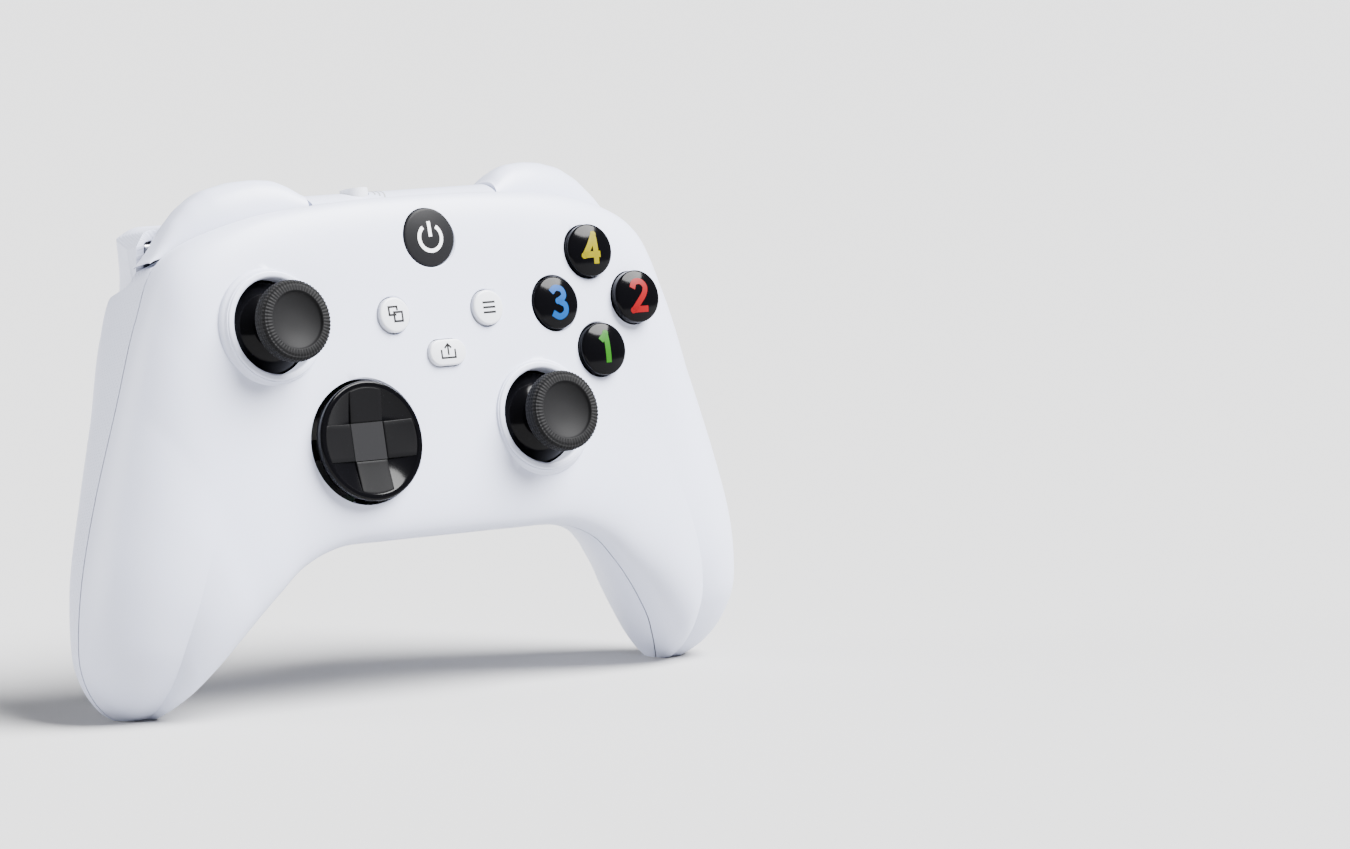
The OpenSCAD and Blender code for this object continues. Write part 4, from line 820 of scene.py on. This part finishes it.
# Direction pad: a dished gloss disc and a cross that rises from its centre to its ends
pad = {"r": 11.8, "arm": 7.6, "rim": 2.0, "foot": -0.7}
z0 = pad["rim"]
prof = [(0.05, -0.9), (pad["r"] - 1.3, -0.9), (pad["r"] - 0.2, 0.0)]
prof += arcPoints(pad["r"] - 0.5, z0 - 0.5, 0.5, 0, 90, 8)
prof += [(pad["r"] - 1.1, z0 - 0.05), (pad["r"] - 1.5, z0 - 0.35), (4.6, z0 - 1.75), (0.05, z0 - 1.8)]
v, f = lathe(prof, 160)
padDisc = addPiece("directionPadDisc", toRow(shift(v, sites["pad"])), f, mats["black"], sharp=30)
fixNormals(padDisc)
stands(padDisc, "direction_pad")


# Cross: the outline's height grows with distance along each arm; the middle square is sunk and level
def crossPiece():
    a, e = pad["arm"] / 2, pad["r"] - 1.25
    parts = []
    for turn in range(4):
        s = np.linspace(0, 1, 14)
        w = np.linspace(-1, 1, 9)
        x = (a - 0.12) * w[None] + 0 * s[:, None]
        yEnd = np.sqrt(np.maximum(e * e - x * x, 0))
        y = a + (yEnd - a) * s[:, None]
        z = z0 - 1.15 + 1.0 * s[:, None] ** 1.1 + 0 * x
        q = math.pi / 2 * turn
        top = np.stack([x * math.cos(q) - y * math.sin(q), x * math.sin(q) + y * math.cos(q), z], -1)
        low = top.copy()
        low[..., 2] = pad["foot"]
        parts.append((top, low))
    return parts


for turn, (top, low) in enumerate(crossPiece()):
    arm = thickPatch("padArm%d" % turn, shift(top, sites["pad"]), shift(low, sites["pad"]), mats["pad"])
    bev = arm.modifiers.new("edge", "BEVEL")
    bev.width = 0.00018
    bev.segments = 3
    bev.limit_method = "ANGLE"
    bev.angle_limit = math.radians(50)
    settle(arm, 40)
    rides(arm, "direction_pad")
u = np.linspace(-1, 1, 9) * (pad["arm"] / 2 - 0.1)
gx, gy = np.meshgrid(u, u, indexing="ij")
top = np.stack([gx, gy, np.full_like(gx, z0 - 1.25)], -1)
low = top.copy()
low[..., 2] = pad["foot"]
hub = thickPatch("padCentre", shift(top, sites["pad"]), shift(low, sites["pad"]), mats["padTop"])
rides(hub, "direction_pad")
print("stage: direction pad")

# Face buttons: a glossy crowned cap; marks are ribbons that follow the crown
button = {"r": 5.3, "side": 1.5, "crown": 0.9, "markWidth": 1.25}


def crownZ(r, x, y, side, crown):
    ball = (r * r + crown * crown) / (2 * crown)
    return side + crown - ball + np.sqrt(np.maximum(ball * ball - x * x - y * y, 0))


def buttonProfile(r, side, crown, drop, edge=0.3):
    ball = (r * r + crown * crown) / (2 * crown)
    rr = np.linspace(r - edge, 0.05, 26)
    flange = [(0.05, -drop), (r + 0.7, -drop), (r + 0.7, -drop + 1), (r, -drop + 1), (r, side - edge)]
    top = [(a, side + crown - ball + math.sqrt(ball * ball - a * a)) for a in rr]
    return flange + arcPoints(r - edge, side - edge, edge, 0, 60, 5) + top


# Mark: a band of given width along a flat path, laid on a surface by a function of place and height above it
def markOn(name, path, width, place, mat):
    d = np.gradient(path, axis=0)
    d /= np.maximum(np.linalg.norm(d, axis=1, keepdims=True), 1e-9)
    normal = np.stack([-d[:, 1], d[:, 0]], -1)
    w = np.linspace(-0.5, 0.5, 5)
    half = np.broadcast_to(np.asarray(width, float), (len(path),))
    xy = path[:, None] + normal[:, None] * (w[None] * half[:, None])[..., None]
    return thickPatch(name, place(xy[..., 0], xy[..., 1], 0.035), place(xy[..., 0], xy[..., 1], -0.15), mat)


def ribbon(name, path, width, site, height, mat):
    return markOn(name, path, width, lambda x, y, h: shift(np.stack([x, y, height(x, y) + h], -1), site), mat)


# Plain numbers as stroke paths, in units of half the number's height
numbers = {
    "1": [[(-0.38, 0.55), (0.1, 1.0), (0.1, 1.0), (0.1, 0.0), (0.1, -1.0)]],
    "2": [[(-0.55, 0.55), (-0.3, 0.95), (0.2, 0.98), (0.52, 0.6), (0.35, 0.1), (-0.1, -0.4), (-0.58, -0.95),
           (-0.58, -0.95), (0.0, -0.95), (0.62, -0.95)]],
    "3": [[(-0.5, 0.72), (-0.1, 1.0), (0.4, 0.85), (0.48, 0.4), (0.0, 0.08), (0.0, 0.08), (0.52, -0.25),
           (0.5, -0.75), (0.0, -1.0), (-0.55, -0.72)]],
    "4": [[(0.25, -1.0), (0.25, 0.0), (0.25, 1.0), (0.25, 1.0), (-0.2, 0.3), (-0.65, -0.35), (-0.65, -0.35),
           (0.0, -0.35), (0.62, -0.35)]],
}
labels = {"north": ("4", "yellow"), "west": ("3", "blue"), "east": ("2", "red"), "south": ("1", "green")}
for key, (digit, tint) in labels.items():
    v, f = lathe(buttonProfile(button["r"], button["side"], button["crown"], 5.4), 128)
    ob = addPiece(key + "Button", toRow(shift(v, sites[key])), f, mats["black"], sharp=30)
    fixNormals(ob)
    stands(ob, key + "_button")
    for s, stroke in enumerate(numbers[digit]):
        mark = ribbon(key + "Mark%d" % s, finePath(np.asarray(stroke) * 2.9), button["markWidth"], sites[key],
                      lambda x, y: crownZ(button["r"], x, y, button["side"], button["crown"]), mats[tint])
        rides(mark, key + "_button")

# Round centre buttons and their line marks
small = {"r": 3.5, "side": 0.9, "crown": 0.2, "line": 0.42}


# Mark of straight strokes, each drawn out at its ends by half its width
def flatMark(name, points, width, key, z, mat, closed=False):
    p = np.asarray(points, float)
    if closed:
        p = np.concatenate([p, p[:1]])
    for k, (a, b) in enumerate(zip(p[:-1], p[1:])):
        d = (b - a) / np.linalg.norm(b - a) * width / 2
        path = np.linspace(a, b, 8) + np.linspace(-1, 1, 8)[:, None] * d
        rides(ribbon(name + "%d" % k, path, width, sites[key], z, mat), key + "_button")


for key in ("view", "menu"):
    v, f = lathe(buttonProfile(small["r"], small["side"], small["crown"], 5.0, 0.35), 96)
    ob = addPiece(key + "Button", toRow(shift(v, sites[key])), f, mats["button"], sharp=30)
    fixNormals(ob)
    stands(ob, key + "_button")
smallZ = lambda x, y: crownZ(small["r"], x, y, small["side"], small["crown"])
for k, y in enumerate((1.0, 0.0, -1.0)):
    flatMark("menuLine%d" % k, [(-1.25, y), (1.25, y)], small["line"], "menu", smallZ, mats["ink"])
backSheet = [(-0.1, 0.0), (-1.5, 0.0), (-1.5, 1.6), (0.4, 1.6), (0.4, 1.05)]
frontSheet = [(-0.4, 0.5), (1.5, 0.5), (1.5, -1.3), (-0.4, -1.3)]
flatMark("viewBack", backSheet, small["line"], "view", smallZ, mats["ink"])
flatMark("viewFront", frontSheet, small["line"], "view", smallZ, mats["ink"], closed=True)
# Share button: the rounded slot's outline at each depth, drawn in step by step to a rounded edge
oblong = {"width": 8.6, "height": 5.2, "line": 0.38, "top": 0.9,
          "levels": [(0.0, -5.0), (0.0, 0.55), (0.06, 0.72), (0.17, 0.84), (0.35, 0.9)]}
pill = pillOutline(oblong["width"], oblong["height"], 28)
pillSize = np.array([oblong["width"], oblong["height"]])
m = len(pill)
count = len(oblong["levels"])
rings = [np.column_stack([pill * (1 - 2 * d / pillSize), np.full(m, z)]) for d, z in oblong["levels"]]
levels = np.concatenate(rings)
ends = [tuple(range(m))[::-1], tuple(range((count - 1) * m, count * m))]
ff = [tuple(q) for q in gridFaces(count, m, True)] + ends
share = addPiece("shareButton", toRow(shift(levels, sites["share"])), ff, mats["button"], sharp=30)
fixNormals(share)
stands(share, "share_button")
shareZ = lambda x, y: 0 * x + oblong["top"]
tray = [(-1.6, 0.35), (-1.6, -1.1), (1.6, -1.1), (1.6, 0.35)]
flatMark("shareTray", tray, oblong["line"], "share", shareZ, mats["ink"])
flatMark("shareStem", [(0, -0.4), (0, 1.5)], oblong["line"], "share", shareZ, mats["ink"])
flatMark("shareHead", [(-0.65, 0.95), (0, 1.6), (0.65, 0.95)], oblong["line"], "share", shareZ, mats["ink"])

# Guide button: a dark disc with a plain power mark
disc = {"r": 5.8, "side": 0.1, "crown": 0.5, "foot": -3.6, "line": 0.75, "arc": 2.6}
guideZ = lambda x, y: crownZ(disc["r"], x, y, disc["side"], disc["crown"])
prof = [(0.05, disc["foot"]), (disc["r"] - 0.6, disc["foot"]), (disc["r"], disc["foot"] + 0.6), (disc["r"], -0.1)]
prof += arcPoints(disc["r"] - 0.2, -0.1, 0.2, 0, 70, 4)
prof += [(a, guideZ(a, 0.0)) for a in np.linspace(disc["r"] - 0.3, 0.05, 24)]
v, f = lathe(prof, 128)
guide = addPiece("guideButton", toRow(shift(v, sites["guide"])), f, mats["guide"], sharp=30)
fixNormals(guide)
stands(guide, "guide_button")
a = np.radians(np.linspace(125, 415, 60))
path = np.stack([disc["arc"] * np.cos(a), disc["arc"] * np.sin(a) - 0.2], -1)
rides(ribbon("guideArc", path, disc["line"], sites["guide"], guideZ, mats["inkWhite"]), "guide_button")
flatMark("guideBar", [(0, 0.4), (0, 2.7)], disc["line"], "guide", guideZ, mats["inkWhite"])
print("stage: buttons")

# Rear marks: three arcs by the pairing button on the bridge, and a small arrow with a bar on the battery cover
bridge = {"y": 36.0, "z": -13.0, "r": 9.3, "pairX": -9.0, "pairZ": -11.0, "arc": 4.1, "step": 0.95, "line": 0.3}


def onBridge(x, z, h):
    return np.stack([x, bridge["y"] + np.sqrt((bridge["r"] + h) ** 2 - (z - bridge["z"]) ** 2), z], -1)


def onCover(x, y, h):
    spine = rearIn(np.zeros(1), 0)[0]
    return np.stack([x, y, np.interp(y, spine[:, 1], spine[:, 2]) - h], -1)


arcTurn = np.radians(np.linspace(-38, 38, 24))
for k in range(3):
    reach = bridge["arc"] + bridge["step"] * k
    path = np.stack([bridge["pairX"] + reach * np.cos(arcTurn), bridge["pairZ"] + reach * np.sin(arcTurn)], -1)
    rides(markOn("pairArc%d" % k, path, bridge["line"], onBridge, mats["faint"]), "top_bridge")
arrow = {"x": 0.0, "low": 3.9, "high": 5.4, "width": 2.8, "barY": 3.1, "bar": 0.5}
path = np.stack([np.full(8, arrow["x"]), np.linspace(arrow["low"], arrow["high"], 8)], -1)
rides(markOn("coverArrow", path, np.linspace(arrow["width"], 0.05, 8), onCover, mats["faint"]), "battery_cover")
path = np.stack([np.linspace(-0.5, 0.5, 8) * arrow["width"], np.full(8, arrow["barY"])], -1)
rides(markOn("coverBar", path, arrow["bar"], onCover, mats["faint"]), "battery_cover")
print("stage: rear marks")

# Floor, soft lights and pale surroundings
stage = {"floor": (0.42, 0.42, 0.424), "size": 14.0, "world": 0.26}
fl = stage["size"]
floor = addPiece("floor", [(-fl, -fl, 0), (fl, -fl, 0), (fl, fl, 0), (-fl, fl, 0)], [(0, 1, 2, 3)],
                 moulded("floorPaint", stage["floor"], 0.9, grain=0.05, grainSize=0.002, mottle=0.004, spec=0.1))
world = bpy.data.worlds.new("studio")
bpy.context.scene.world = world
world.use_nodes = True
world.node_tree.nodes["Background"].inputs["Color"].default_value = (1.0, 1.0, 1.02, 1)
world.node_tree.nodes["Background"].inputs["Strength"].default_value = stage["world"]


def sunLight(name, direction, power, spread):
    d = bpy.data.lights.new(name, "SUN")
    d.energy = power
    d.angle = math.radians(spread)
    ob = bpy.data.objects.new(name, d)
    ob.rotation_euler = Vector(direction).to_track_quat("-Z", "Y").to_euler()
    bpy.context.scene.collection.objects.link(ob)


sunLight("keyLight", (-0.42, 0.46, -0.78), 23.0, 42)
sunLight("flankLight", (0.85, -0.50, -0.15), 5.0, 40)

print("stage: done")
